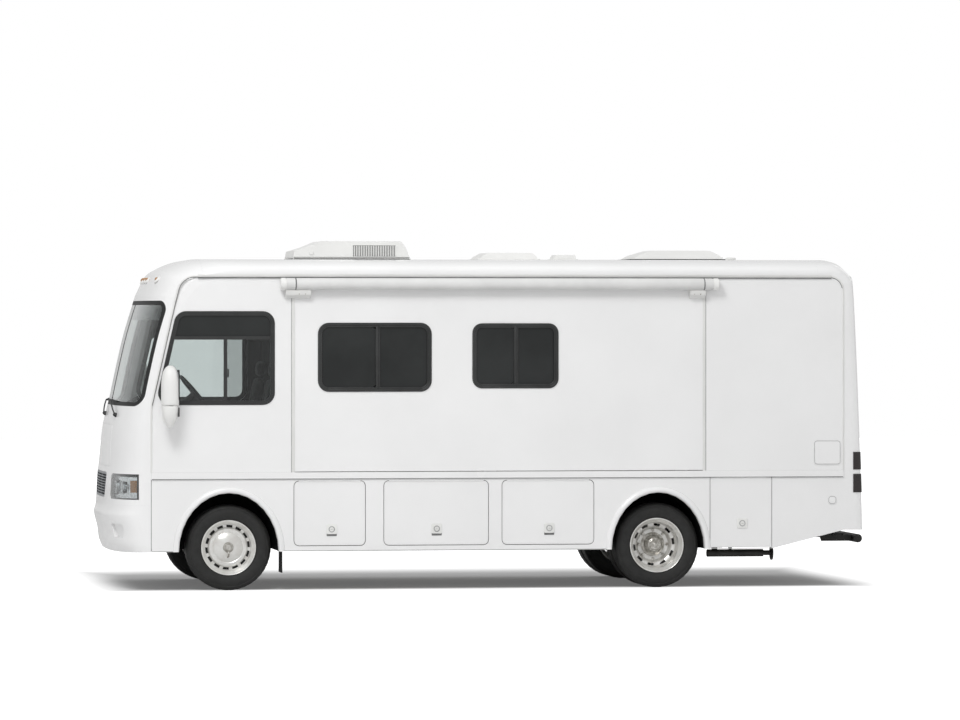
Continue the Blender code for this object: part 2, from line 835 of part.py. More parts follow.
def make_front_cap(shell, shield_hole):
    cap = copy_of(shell, "front_cap", white_gelcoat())
    keep(cap, through_prism(nose_region()))
    cut(cap, shield_hole, "MANIFOLD")
    cut(cap, prism(grille_outline(SEAT_GAP), station(-OVERRUN), station(GRILLE_REACH), "X"), "MANIFOLD")
    for side in (-1, 1):
        cut(cap, lamp_tool(side, SEAT_GAP), "MANIFOLD")
    return shade(cap)


def grille_outline(grow):
    corners = [
        (-GRILLE_HALF_FOOT - grow, GRILLE_FOOT_Z - grow), (GRILLE_HALF_FOOT + grow, GRILLE_FOOT_Z - grow),
        (GRILLE_HALF_TOP + grow, GRILLE_TOP_Z + grow), (-GRILLE_HALF_TOP - grow, GRILLE_TOP_Z + grow),
    ]
    return rounded_corners(corners, [GRILLE_ROUND + grow] * 4)


def lamp_tool(side, grow):
    """Block that cuts the headlamp out of the nose: it wraps the corner."""
    inner = side * (LAMP_INNER - grow)
    outer = side * (BODY_HALF + OVERRUN)
    low, high = sorted((inner, outer))
    tool = prism(rounded(low, LAMP_FOOT_Z - grow, high, LAMP_TOP_Z + grow, LAMP_ROUND),
                 station(-OVERRUN), station(LAMP_REAR) + grow, "X")
    return tool


def make_headlamp(name, side, shell):
    lamp = copy_of(shell, name, clear_lens())
    return shade(keep(lamp, lamp_tool(side, 0.0)))


def make_grille(shell):
    grille = copy_of(shell, "grille", black_plastic())
    keep(grille, prism(grille_outline(0.0), station(-OVERRUN), station(GRILLE_REACH), "X"))
    pitch = (GRILLE_TOP_Z - GRILLE_FOOT_Z - 2 * GRILLE_BORDER) / GRILLE_BARS
    lean = (GRILLE_HALF_TOP - GRILLE_HALF_FOOT) / (GRILLE_TOP_Z - GRILLE_FOOT_Z)
    for index in range(GRILLE_BARS):
        foot = GRILLE_FOOT_Z + GRILLE_BORDER + index * pitch + GRILLE_BAR / 2
        top = foot + pitch - GRILLE_BAR
        half = GRILLE_HALF_FOOT + lean * (foot - GRILLE_FOOT_Z) - GRILLE_BORDER
        for low, high in ((-half, -GRILLE_BAR), (GRILLE_BAR, half)):
            cut(grille, block(station(-OVERRUN), station(GRILLE_REACH), low, high, foot, top))
    return shade(grille)


def shield_outline(grow):
    half = SHIELD_HALF + grow
    return rounded(-half, SHIELD_FOOT_Z - grow, half, SHIELD_TOP_Z + grow, SHIELD_ROUND + grow)


def shield_tool(grow):
    return prism(shield_outline(grow), station(-OVERRUN), station(SHIELD_REACH), "X")


def make_windshield(thin_shell):
    shield = copy_of(thin_shell, "windshield", tinted_glass())
    keep(shield, shield_tool(0.0))
    return shade(shield)


def make_bumper(shell):
    bumper = copy_of(shell, "front_bumper", white_gelcoat())
    region = [
        (station(-OVERRUN), NOSE_FOOT_Z), (station(NOSE_SEAM), NOSE_FOOT_Z + BELT_PROUD),
        (station(NOSE_SEAM), BUMPER_Z), (station(-OVERRUN), BUMPER_Z),
    ]
    keep(bumper, through_prism(region))
    return shade(bumper)


def make_roof(shell):
    roof = copy_of(shell, "roof", white_gelcoat())
    gap = SEAT_GAP
    keep(roof, block(station(ROOF_FRONT) + gap, station(ROOF_REAR) - gap, -BODY_HALF - OVERRUN,
                     BODY_HALF + OVERRUN, RAIL_Z, ROOF_Z + OVERRUN))
    return shade(roof)


def make_rear_cap(shell):
    cap = copy_of(shell, "rear_cap", white_gelcoat())
    keep(cap, through_prism(tail_region()))
    hole = rounded(-TAIL_WINDOW_HALF - SEAT_GAP, TAIL_WINDOW_FOOT_Z - SEAT_GAP,
                   TAIL_WINDOW_HALF + SEAT_GAP, TAIL_WINDOW_TOP_Z + SEAT_GAP, TAIL_WINDOW_ROUND + SEAT_GAP)
    cut(cap, prism(hole, station(TAIL_SEAM), station(BODY_LENGTH + OVERRUN), "X"))
    return shade(cap)


def make_tail_window(thin_shell):
    window = copy_of(thin_shell, "rear_window", tinted_glass())
    outline = rounded(
        -TAIL_WINDOW_HALF, TAIL_WINDOW_FOOT_Z, TAIL_WINDOW_HALF, TAIL_WINDOW_TOP_Z, TAIL_WINDOW_ROUND,
    )
    keep(window, prism(outline, station(TAIL_SEAM), station(BODY_LENGTH + OVERRUN), "X"))
    return shade(window)


def make_side_wall(name, side, shell):
    wall = copy_of(shell, name, white_gelcoat())
    keep(wall, side_prism(wall_region(), side))
    cut(wall, side_prism(driver_window_outline(SEAT_GAP), side))
    gap = MOVING_GAP
    if side < 0:
        foot = BELT_Z - OVERRUN
        hole = [
            (station(SLIDE_FRONT) - gap, foot), (station(SLIDE_REAR) + gap, foot),
            (station(SLIDE_REAR) + gap, SLIDE_TOP_Z + gap), (station(SLIDE_FRONT) - gap, SLIDE_TOP_Z + gap),
        ]
        cut(wall, side_prism(hole, side))
    else:
        cut(wall, side_prism(entry_outline(gap), side))
        for row in WALL_WINDOW_TABLE:
            cut(wall, side_prism(box_window_hole(row), side))
    return shade(wall)


def entry_outline(grow):
    return rounded(station(ENTRY_FRONT) - grow, ENTRY_FOOT_Z - grow, station(ENTRY_REAR) + grow,
                   ENTRY_TOP_Z + grow, ENTRY_ROUND + grow)


def bin_outline(front, rear, foot, top, grow):
    """A bay door has round corners; the service door is square and its opening runs out of the skirt's foot."""
    ahead = station(front) - grow
    behind = station(rear) + grow
    if foot == BIN_FOOT_Z:
        return rounded(ahead, foot - grow, behind, top + grow, BIN_ROUND + grow)
    low = foot - OVERRUN if grow else foot
    return [(ahead, low), (behind, low), (behind, top + grow), (ahead, top + grow)]


def make_skirt(name, side, shell):
    """Lower side panel with its belt moulding, arch flares and door openings."""
    skirt = copy_of(shell, name, white_gelcoat())
    keep(skirt, side_prism(skirt_region(), side))
    face = side * BODY_HALF
    belt = sorted((face - side * WALL / 2, face + side * BELT_PROUD))
    add(skirt, block(station(NOSE_SEAM) + SEAT_GAP, station(TAIL_SEAM) - SEAT_GAP, *belt,
                     BELT_Z - BELT_DEPTH, BELT_Z))
    flare = sorted((face - side * WALL / 2, face + side * FLARE_PROUD))
    arches = ((ARCH_FRONT, ARCH_BACK, ARCH_TOP_Z), (REAR_ARCH_FRONT, REAR_ARCH_BACK, REAR_ARCH_TOP_Z))
    for front, back, top in arches:
        band = prism(swept_arch(front, back, top, FLARE_WIDTH), *flare, "Y")
        keep(band, block(station(0.0), station(BODY_LENGTH), -BODY_HALF - OVERRUN, BODY_HALF + OVERRUN,
                         SKIRT_Z, BELT_Z))
        add(skirt, band)
        cut(skirt, side_prism(swept_arch(front, back, top), side))
    for row_name, row_side, *sizes in BIN_TABLE:
        if row_side == side:
            cut(skirt, side_prism(bin_outline(*sizes, MOVING_GAP), side))
    if side > 0:
        cut(skirt, side_prism(entry_outline(MOVING_GAP), side))
    return shade(skirt)


def make_bin_door(name, side, front, rear, foot, top):
    """Door hung from a long hinge along its outer top edge, about which its origin lies."""
    face = side * BODY_HALF
    low, high = sorted((face, face - side * WALL))
    door = prism(bin_outline(front, rear, foot, top, 0.0), low, high, "Y", name, white_gelcoat())
    barrel = rod((station(front) + BIN_ROUND, face, top), (station(rear) - BIN_ROUND, face, top), HINGE_RADIUS)
    add(door, barrel)
    return centred(shade(door), (station((front + rear) / 2), face, top))


def make_entry_door():
    face = BODY_HALF
    door = prism(entry_outline(0.0), face - WALL, face, "Y", "entry_door", white_gelcoat())
    axis_x = station(ENTRY_FRONT)
    axis_y = face + ENTRY_HINGE_OFF
    for share in ENTRY_HINGE_SHARES:
        z = ENTRY_FOOT_Z + share * (ENTRY_TOP_Z - ENTRY_FOOT_Z)
        low = z - ENTRY_BARREL_HALF
        high = z + ENTRY_BARREL_HALF
        leaf = [
            (axis_x + ENTRY_LEAF_WIDTH, face - ENTRY_LEAF_THICK),
            (axis_x + ENTRY_LEAF_WIDTH, face + ENTRY_LEAF_THICK),
            (axis_x + ENTRY_HINGE_OFF, face + ENTRY_LEAF_THICK),
            (axis_x + ENTRY_LEAF_THICK, axis_y + ENTRY_LEAF_THICK),
            (axis_x, axis_y), (axis_x + ENTRY_LEAF_THICK, face - ENTRY_LEAF_THICK),
        ]
        add(door, prism(leaf, low, high, "Z"))
        add(door, rod((axis_x, axis_y, low), (axis_x, axis_y, high), ENTRY_BARREL_RADIUS))
    inset = ENTRY_WINDOW_INSET
    pane = rounded(station(ENTRY_FRONT) + inset, ENTRY_WINDOW_FOOT_Z, station(ENTRY_REAR) - inset,
                   ENTRY_TOP_Z - inset, ENTRY_ROUND)
    mid = face - WALL / 2
    for low, high in ((face - WALL - OVERRUN, mid - PANE_THICK / 2), (mid + PANE_THICK / 2, face + OVERRUN)):
        cut(door, prism(pane, low, high, "Y"))
    return centred(shade(door), (axis_x, axis_y, (ENTRY_FOOT_Z + ENTRY_TOP_Z) / 2))


def make_floor():
    """House floor with the storage boxes and the step well that hang under it."""
    half = BODY_HALF - WALL - SEAT_GAP
    front = station(FLOOR_FRONT)
    rear = station(FLOOR_REAR)
    under = FLOOR_TOP_Z - FLOOR_THICK
    floor = block(front, rear, -half, half, under, FLOOR_TOP_Z, "floor", floor_board())
    skin = BAY_SKIN
    outer = half
    well_front = ENTRY_FRONT - MOVING_GAP - skin
    well_rear = ENTRY_REAR + MOVING_GAP + skin
    box_y = sorted((BAY_BACK, outer))
    add(floor, block(station(well_front), station(well_rear), *box_y, BAY_FOOT_Z, under + SEAT_GAP))
    for name, side, start, end, foot, top in BIN_TABLE:
        span = sorted((side * BAY_BACK, side * outer))
        add(floor, block(station(start) - MOVING_GAP - skin, station(end) + MOVING_GAP + skin, *span,
                         BAY_FOOT_Z, under + SEAT_GAP))
    for name, side, start, end, foot, top in BIN_TABLE:
        span = sorted((side * (BAY_BACK + skin), side * (outer + OVERRUN)))
        cut(floor, block(station(start) - MOVING_GAP, station(end) + MOVING_GAP, *span,
                         BAY_FOOT_Z + skin, under))
    step_y = outer - STEP_DEPTH
    cut(floor, block(station(ENTRY_FRONT) - MOVING_GAP, station(ENTRY_REAR) + MOVING_GAP, step_y,
                     outer + OVERRUN, ENTRY_FOOT_Z, FLOOR_TOP_Z + OVERRUN))
    cut(floor, block(station(ENTRY_FRONT) - MOVING_GAP, station(ENTRY_REAR) + MOVING_GAP, BAY_BACK + skin,
                     outer + OVERRUN, ENTRY_FOOT_Z + STEP_RISE, FLOOR_TOP_Z + OVERRUN))
    return floor


def make_slide_room():
    """Slide-out room: outer wall, roof, floor and two end walls, open towards the house."""
    outer = -BODY_HALF
    inner = outer + SLIDE_DEPTH
    foot = BELT_Z + MOVING_GAP
    front = station(SLIDE_FRONT)
    rear = station(SLIDE_REAR)
    room = block(front, rear, outer, inner, foot, SLIDE_TOP_Z, "slide_room", white_gelcoat())
    skin = SLIDE_SKIN
    cut(room, block(front + skin, rear - skin, outer + skin, inner + OVERRUN, foot + skin, SLIDE_TOP_Z - skin))
    for row in SLIDE_WINDOW_TABLE:
        cut(room, side_prism(box_window_hole(row), -1))
    spots = (front + GLIDE_LENGTH, (front + rear) / 2, rear - GLIDE_LENGTH)
    for spot in spots:
        add(room, block(spot - GLIDE_LENGTH / 2, spot + GLIDE_LENGTH / 2, inner - GLIDE_WIDTH, inner,
                        FLOOR_TOP_Z + SEAT_GAP, foot + SEAT_GAP))
    return room


def make_topper():
    """Awning roller over the slide-out room, held by a bracket at each end."""
    y = -BODY_HALF - ROLLER_OFF
    roller = rod((station(ROLLER_FRONT), y, ROLLER_Z), (station(ROLLER_REAR), y, ROLLER_Z), ROLLER_RADIUS, 20,
                 "topper", white_plastic())
    foot = ROLLER_Z - BRACKET_DROP
    for start in (station(SLIDE_FRONT), station(SLIDE_REAR) - BRACKET_WIDTH):
        arm = block(start, start + BRACKET_WIDTH, y - BRACKET_THICK / 2, -BODY_HALF - SEAT_GAP, foot,
                    ROLLER_Z - ROLLER_RADIUS + BRACKET_THICK)
        add(roller, arm)
    return shade(roller)


def make_flap(name, side):
    """Rubber flap behind the front wheel, on a strap from the first bay's box."""
    outer = BODY_HALF - WALL - MOVING_GAP
    near, far = sorted((side * (outer - FLAP_WIDTH), side * outer))
    front = station(FLAP_X)
    back = front + FLAP_THICK
    box = ENTRY_FRONT if side > 0 else FRONT_BIN_START
    flap = block(front, back, near, far, FLAP_FOOT_Z, FLAP_TOP_Z, name, tyre_rubber())
    add(flap, block(back - FLAP_THICK / 2, station(box) - MOVING_GAP - BAY_SKIN - SEAT_GAP, near, far,
                    FLAP_STRAP_Z - FLAP_STRAP_HALF, FLAP_STRAP_Z + FLAP_STRAP_HALF))
    return flap


def add_jack(frame, side):
    """Folded levelling jack behind the rear wheel: cylinder, ram and foot on an arm from the rail."""
    y = side * JACK_OFF
    front = station(JACK_FRONT)
    rear = station(JACK_REAR)
    end = rear + JACK_RAM_REACH
    add(frame, rod((front, y, JACK_Z), (rear, y, JACK_Z), JACK_RADIUS, 16))
    add(frame, rod((rear - JACK_RADIUS, y, JACK_Z), (end, y, JACK_Z), JACK_RAM_RADIUS, 16))
    add(frame, rod((end - JACK_FOOT_THICK, y, JACK_Z), (end, y, JACK_Z), JACK_FOOT_RADIUS, 16))
    ahead = station(JACK_ARM_X) - JACK_ARM_HALF
    behind = station(JACK_ARM_X) + JACK_ARM_HALF
    half = JACK_ARM_THICK / 2
    web = RAIL_HALF - RAIL_SKIN / 2
    near, far = sorted((side * web, y))
    add(frame, block(ahead, behind, near, far, JACK_Z - half, JACK_Z + half))
    near, far = sorted((side * web, side * (RAIL_HALF + JACK_ARM_THICK)))
    top = FLOOR_TOP_Z - FLOOR_THICK - RAIL_HEIGHT / 2
    add(frame, block(ahead, behind, near, far, JACK_Z - half, top))


def rail_outline(side):
    """C-shaped rail, open towards the middle."""
    top = FLOOR_TOP_Z - FLOOR_THICK - SEAT_GAP
    foot = top - RAIL_HEIGHT
    outer = side * RAIL_HALF
    inner = side * (RAIL_HALF - RAIL_WIDTH)
    web = side * (RAIL_HALF - RAIL_SKIN)
    return [
        (outer, foot), (inner, foot), (inner, foot + RAIL_SKIN), (web, foot + RAIL_SKIN),
        (web, top - RAIL_SKIN), (inner, top - RAIL_SKIN), (inner, top), (outer, top),
    ]


def make_chassis():
    """Ladder frame with its cross members, spring hangers and hitch."""
    top = FLOOR_TOP_Z - FLOOR_THICK - SEAT_GAP
    foot = top - RAIL_HEIGHT
    front = station(RAIL_FRONT)
    rear = station(RAIL_REAR)
    frame = prism(rail_outline(-1), front, rear, "X", "chassis_frame", chassis_paint())
    add(frame, prism(rail_outline(1), front, rear, "X"))
    inner = RAIL_HALF - RAIL_SKIN / 2
    for share in BEAM_SHARES:
        x = front + share * (rear - front)
        add(frame, block(x - BEAM_WIDTH / 2, x + BEAM_WIDTH / 2, -inner, inner, foot + RAIL_SKIN * 2,
                         top - RAIL_SKIN * 2))
    for axle in (FRONT_AXLE, REAR_AXLE):
        for way in (-1, 1):
            x = station(axle) + way * SPRING_LENGTH
            for side in (-1, 1):
                near, far = sorted((side * RAIL_HALF, side * (RAIL_HALF - RAIL_WIDTH)))
                hanger_top = foot + RAIL_SKIN
                hanger_foot = SPRING_Z + SPRING_THICK
                add(frame, block(x - HANGER / 2, x + HANGER / 2, near, far, hanger_foot, hanger_top))
    tube_x = station(HITCH_TUBE_X)
    end = station(BODY_LENGTH + HITCH_REACH)
    half = HITCH_BAR / 2
    for side in (-1, 1):
        near, far = sorted((side * RAIL_HALF, side * (RAIL_HALF - HITCH_ARM)))
        arm = [
            (rear, foot + RAIL_SKIN / 2), (rear - 2 * HITCH_BAR, foot + RAIL_SKIN / 2),
            (rear - 2 * HITCH_BAR, foot - half), (rear, HITCH_Z - half), (tube_x, HITCH_Z - half),
            (tube_x, HITCH_Z + half), (rear + half, HITCH_Z + half),
        ]
        add(frame, prism(arm, near, far, "Y"))
    add(frame, rod((tube_x, -HITCH_HALF, HITCH_Z), (tube_x, HITCH_HALF, HITCH_Z), HITCH_TUBE_RADIUS, 16))
    add(frame, block(tube_x - 2 * HITCH_BAR, end, -half, half, HITCH_Z - half, HITCH_Z + half))
    socket = HITCH_BAR / 3
    cut(frame, block(end - HITCH_BAR, end + OVERRUN, -socket, socket, HITCH_Z - socket, HITCH_Z + socket))
    for side in (-1, 1):
        add_jack(frame, side)
    return frame


def make_springs(axle):
    """Pair of leaf springs from hanger to hanger, with the pads that hold the axle."""
    x = station(axle)
    springs = []
    top = SPRING_Z + SPRING_THICK - SEAT_GAP
    for side in (-1, 1):
        middle = side * (RAIL_HALF - SPRING_WIDTH / 2)
        near, far = sorted((middle - SPRING_WIDTH / 2, middle + SPRING_WIDTH / 2))
        reach = SPRING_LENGTH + HANGER / 2
        outline = [
            (x - reach, top), (x - reach, top - SPRING_THICK / 2), (x, SPRING_Z - SPRING_THICK),
            (x + reach, top - SPRING_THICK / 2), (x + reach, top), (x, SPRING_Z),
        ]
        springs.append(prism(outline, near, far, "Y"))
    return springs


def make_front_axle():
    z = TYRE_RADIUS
    x = station(FRONT_AXLE)
    reach = KINGPIN - KINGPIN_RADIUS - SEAT_GAP
    axle = block(
        x - AXLE_RADIUS, x + AXLE_RADIUS, -reach, reach, z - AXLE_RADIUS, z + AXLE_RADIUS,
        "front_axle", chassis_paint(),
    )
    for spring in make_springs(FRONT_AXLE):
        add(axle, spring)
    for side in (-1, 1):
        middle = side * (RAIL_HALF - SPRING_WIDTH / 2)
        near, far = sorted((middle - SPRING_WIDTH / 2, middle + SPRING_WIDTH / 2))
        add(axle, block(x - AXLE_RADIUS, x + AXLE_RADIUS, near, far, z, SPRING_Z - SPRING_THICK / 2))
    return axle


def make_knuckle(name, side):
    """Steering knuckle: a kingpin post and the spindle that carries the wheel."""
    x = station(FRONT_AXLE)
    z = TYRE_RADIUS
    y = side * KINGPIN
    knuckle = rod((x, y, z - KINGPIN_HALF), (x, y, z + KINGPIN_HALF), KINGPIN_RADIUS, 16, name, chassis_paint())
    end = side * (TRACK_HALF + WHEEL_DISC_OFF - SEAT_GAP)
    add(knuckle, rod((x, y, z), (x, end, z), KINGPIN_RADIUS * STUB_SHARE, 16))
    drum = side * (KINGPIN + 2 * KINGPIN_RADIUS)
    add(knuckle, rod((x, drum, z), (x, end, z), HUB_RADIUS, 16))
    return centred(shade(knuckle), (x, y, z))


def make_rear_axle():
    z = TYRE_RADIUS
    x = station(REAR_AXLE)
    reach = TRACK_HALF - DUAL_SPACING / 2 - DUAL_PLATE - SEAT_GAP
    axle = rod((x, -reach, z), (x, reach, z), TUBE_RADIUS, 20, "rear_axle", chassis_paint())
    profile = [(out * DIFF_RADIUS, across * DIFF_RADIUS) for out, across in DIFF_SHARES]
    add(axle, turned(profile, (x, 0.0, z), 20), "MANIFOLD")
    for spring in make_springs(REAR_AXLE):
        add(axle, spring, "MANIFOLD")
    for side in (-1, 1):
        middle = side * (RAIL_HALF - SPRING_WIDTH / 2)
        near, far = sorted((middle - SPRING_WIDTH / 2, middle + SPRING_WIDTH / 2))
        pad = block(x - TUBE_RADIUS, x + TUBE_RADIUS, near, far, z, SPRING_Z - SPRING_THICK / 2)
        add(axle, pad, "MANIFOLD")
    joint = station(ENGINE_REAR) + SHAFT_GAP
    shaft = rod((x - DIFF_RADIUS / 2, 0.0, z), (joint, 0.0, ENGINE_SHAFT_Z), SHAFT_RADIUS, 16)
    add(axle, shaft, "MANIFOLD")
    return shade(axle)


def make_engine():
    """Engine and gearbox as one plain block between the rails."""
    top = FLOOR_TOP_Z - FLOOR_THICK - SEAT_GAP
    half = RAIL_HALF - RAIL_WIDTH - SEAT_GAP
    return block(station(ENGINE_FRONT), station(ENGINE_REAR), -half, half, ENGINE_FOOT_Z, top, "engine_block",
                 chassis_paint())


def make_tank():
    top = FLOOR_TOP_Z - FLOOR_THICK - RAIL_HEIGHT - 2 * SEAT_GAP
    half = RAIL_HALF
    outline = rounded(-half, TANK_FOOT_Z, half, top, TANK_ROUND, 3)
    return shade(prism(outline, station(TANK_FRONT), station(TANK_REAR), "X", "fuel_tank", black_plastic()))


def make_tyre(name, y, axle):
    profile = []
    for out, across in TYRE_SHARES:
        radius = BEAD_RADIUS + SEAT_GAP + out * (TYRE_RADIUS - BEAD_RADIUS - SEAT_GAP)
        profile.append((radius, across * TYRE_WIDTH / 2))
    place = (station(axle), y, TYRE_RADIUS)
    return centred(shade(turned(profile, place, TYRE_STEPS, name, tyre_rubber())), place)


def make_front_wheel(name, side):
    """Rim, convex disc and hub cap."""
    half = RIM_WIDTH / 2
    barrel = BEAD_RADIUS - RIM_SKIN
    face = TRACK_HALF
    out = half * HUB_FACE_SHARE
    disc = WHEEL_DISC_OFF
    profile = [
        (0.0, out + HUB_CAP_REACH), (HUB_CAP_RADIUS * CAP_FACE_SHARE, out + HUB_CAP_REACH),
        (HUB_CAP_RADIUS, out), (DISC_RADIUS * DISC_BEND_SHARE, out * DISC_BEND_SHARE),
        (DISC_RADIUS, disc + DISC_THICK), (barrel, disc + DISC_THICK),
        (barrel, half - RIM_LIP), (RIM_RADIUS, half), (RIM_RADIUS, half - RIM_LIP),
        (BEAD_RADIUS, half - RIM_TAPER),
        (BEAD_RADIUS, -half), (barrel, -half), (barrel, disc), (0.0, disc),
    ]
    place = (station(FRONT_AXLE), side * face, TYRE_RADIUS)
    wheel = turned([(r, side * y) for r, y in profile], place, TYRE_STEPS, name, wheel_steel())
    return centred(shade(wheel), place)


def make_rear_wheel(name, side):
    """Two rims bolted back to back on one hub, the outer one deeply dished."""
    half = RIM_WIDTH / 2
    barrel = BEAD_RADIUS - RIM_SKIN
    shift = DUAL_SPACING / 2
    plate = DUAL_PLATE
    lip = RIM_LIP
    profile = [
        (0.0, DUAL_HUB_REACH), (HUB_RADIUS * HUB_NOSE_SHARE, DUAL_HUB_REACH),
        (HUB_RADIUS, DUAL_HUB_REACH * HUB_FLANK_SHARE), (HUB_RADIUS, plate), (DUAL_DISC_RADIUS, plate),
        (barrel, shift - half + lip), (barrel, shift + half - lip), (RIM_RADIUS, shift + half),
        (RIM_RADIUS, shift + half - lip), (BEAD_RADIUS, shift + half - RIM_TAPER),
        (BEAD_RADIUS, shift - half), (DUAL_DISC_RADIUS + plate, 0.0), (BEAD_RADIUS, half - shift),
        (BEAD_RADIUS, -shift - half + RIM_TAPER),
        (RIM_RADIUS, -shift - half + lip), (RIM_RADIUS, -shift - half), (barrel, -shift - half + lip),
        (barrel, half - shift - lip), (DUAL_DISC_RADIUS, -plate), (0.0, -plate),
    ]
    place = (station(REAR_AXLE), side * (TRACK_HALF - shift), TYRE_RADIUS)
    wheel = turned([(r, side * y) for r, y in profile], place, TYRE_STEPS, name, wheel_steel())
    return centred(shade(wheel), place)


def make_mirror(name, side):
    """Tall mirror head over a tapered bulb, on a short arm."""
    rings = []
    tall = MIRROR_TOP_Z - MIRROR_FOOT_Z
    x = station(MIRROR_X)
    y = side * (BODY_HALF + MIRROR_OFF)
    for up, wide in MIRROR_SHARES:
        ring = []
        for step in range(MIRROR_STEPS):
            angle = 2 * math.pi * step / MIRROR_STEPS
            ring.append((x + wide * MIRROR_HALF_X * math.cos(angle), y + wide * MIRROR_HALF_Y * math.sin(angle),
                         MIRROR_FOOT_Z + up * tall))
        rings.append(ring)
    head = loft(rings, name, white_plastic())
    half = MIRROR_ARM_HALF
    low = MIRROR_ARM_Z
    high = low + 2 * half
    arm = []
    for where, slim in ((side * (BODY_HALF + SEAT_GAP), 1.0), (y, MIRROR_ARM_TAPER)):
        front = x - half * slim
        rear = x + half * slim
        arm.append([(front, where, low), (rear, where, low), (rear, where, high), (front, where, high)])
    add(head, loft(arm))
    return shade(head)


def make_roof_unit():
    """Roof air conditioner's cover, seated on the crown of the roof."""
    foot = ROOF_Z + SEAT_GAP
    tall = AC_TOP_Z - foot
    span = AC_REAR - AC_FRONT
    outline = [(station(AC_FRONT + along * span), foot + up * tall) for along, up in AC_SHARES]
    return prism(outline, -AC_HALF, AC_HALF, "Y", "roof_air_unit", white_plastic())


def make_roof_box(name, front, length, half, rise, slope_share):
    foot = ROOF_Z + SEAT_GAP
    rear = front + length
    run = slope_share * length
    rings = []
    for z, inset in ((foot, 0.0), (foot + rise / 2, run / 3), (ROOF_Z + rise, run)):
        rings.append([
            (station(front) + inset, -half + inset / 2, z), (station(rear) - inset / 2, -half + inset / 2, z),
            (station(rear) - inset / 2, half - inset / 2, z), (station(front) + inset, half - inset / 2, z),
        ])
    return loft(rings, name, white_plastic())


def steering_axis():
    lean = math.radians(STEER_LEAN)
    return (-math.cos(lean), 0.0, -math.sin(lean))


def make_dashboard():
    """Dashboard with the steering column."""
    outline = [
        (station(DASH_FRONT), DASH_TOP_Z), (station(DASH_FRONT), FLOOR_TOP_Z + SEAT_GAP),
        (station(DASH_FRONT) + COLUMN_RADIUS, FLOOR_TOP_Z + SEAT_GAP),
        (station(DASH_REAR), DASH_TOP_Z * DASH_FOOT_SHARE), (station(DASH_REAR), DASH_TOP_Z * DASH_LIP_SHARE),
        (station(DASH_REAR) - COLUMN_RADIUS, DASH_TOP_Z),
    ]
    half = BODY_HALF - WALL - DASH_MARGIN
    dash = prism(outline, -half, half, "Y", "dashboard", black_plastic())
    axis = steering_axis()
    centre = (station(WHEEL_X), -DRIVER_OFF, WHEEL_Z)
    near = tuple(centre[i] + axis[i] * (COLUMN_RADIUS + SEAT_GAP) for i in range(3))
    far = tuple(centre[i] + axis[i] * COLUMN_LENGTH for i in range(3))
    add(dash, rod(near, far, COLUMN_RADIUS, 12))
    return shade(dash)


def make_steering_wheel():
    """Rim, hub and two spokes, square to the column."""
    rim = []
    for step in range(6):
        angle = 2 * math.pi * step / 6
        rim.append((STEER_RADIUS + STEER_TUBE * math.cos(angle), STEER_TUBE * math.sin(angle)))
    wheel = turned(rim, (0, 0, 0), 18, "steering_wheel", black_plastic())
    hub = turned([(0, -COLUMN_RADIUS), (COLUMN_RADIUS * 2, -COLUMN_RADIUS), (COLUMN_RADIUS * 2, STEER_TUBE),
                  (0, STEER_TUBE)], (0, 0, 0), 12)
    add(wheel, hub)
    spoke = COLUMN_RADIUS / 2
    add(wheel, block(-STEER_RADIUS, STEER_RADIUS, -STEER_TUBE / 2, STEER_TUBE / 2, -spoke, spoke))
    add(wheel, block(-spoke, spoke, -STEER_TUBE / 2, STEER_TUBE / 2, -STEER_RADIUS, 0.0))
    lean = math.radians(STEER_LEAN)
    wheel.data.transform(Matrix.Rotation(-lean, 4, "Y") @ Matrix.Rotation(-math.pi / 2, 4, "Z"))
    wheel.location = (station(WHEEL_X), -DRIVER_OFF, WHEEL_Z)
    return shade(wheel)


def make_seat(name, side):
    """Captain's seat on its pedestal."""
    front = station(SEAT_FRONT)
    rear = station(SEAT_REAR)
    base = (rear - front) / 4
    outline = [
        (front + base, FLOOR_TOP_Z + SEAT_GAP), (rear - base, FLOOR_TOP_Z + SEAT_GAP),
        (rear - base, SEAT_TOP_Z - SEAT_BACK_THICK), (rear - SEAT_RECLINE, SEAT_TOP_Z - SEAT_BACK_THICK),
        (rear, SEAT_BACK_Z), (rear - SEAT_BACK_THICK * SEAT_BACK_TAPER, SEAT_BACK_Z),
        (rear - SEAT_RECLINE - SEAT_BACK_THICK, SEAT_TOP_Z), (front, SEAT_TOP_Z),
        (front, SEAT_TOP_Z - SEAT_BACK_THICK), (front + base, SEAT_TOP_Z - SEAT_BACK_THICK),
    ]
    return prism(outline, side * DRIVER_OFF - SEAT_HALF, side * DRIVER_OFF + SEAT_HALF, "Y", name, seat_cloth())


def make_body_panels():
    shell = make_shell(WALL, ROOF_THICK)
    thin = make_shell(GLASS_THICK, GLASS_THICK)
    thick = make_shell(GRILLE_DEPTH, GRILLE_DEPTH)
    deep = make_shell(LAMP_DEPTH, LAMP_DEPTH)
    make_front_cap(shell, shield_tool(SEAT_GAP))
    make_bumper(shell)
    make_grille(thick)
    make_headlamp("headlamp_left", -1, deep)
    make_headlamp("headlamp_right", 1, deep)
    make_windshield(thin)
    make_roof(shell)
    make_rear_cap(shell)
    make_tail_window(thin)
    for name, side in (("left", -1), ("right", 1)):
        make_side_wall("side_wall_" + name, side, shell)
        make_skirt("skirt_" + name, side, shell)
        cab_window("cab_window_" + name, side)
        make_mirror("mirror_" + name, side)
    for spare in (shell, thin, thick, deep):
        bpy.data.objects.remove(spare)


def make_doors():
    for row in BIN_TABLE:
        make_bin_door(*row)
    make_entry_door()


def make_slide_out():
    make_slide_room()
    make_topper()
    for row in SLIDE_WINDOW_TABLE:
        box_window(row, -1, BODY_HALF)
    for row in WALL_WINDOW_TABLE:
        box_window(row, 1, BODY_HALF)


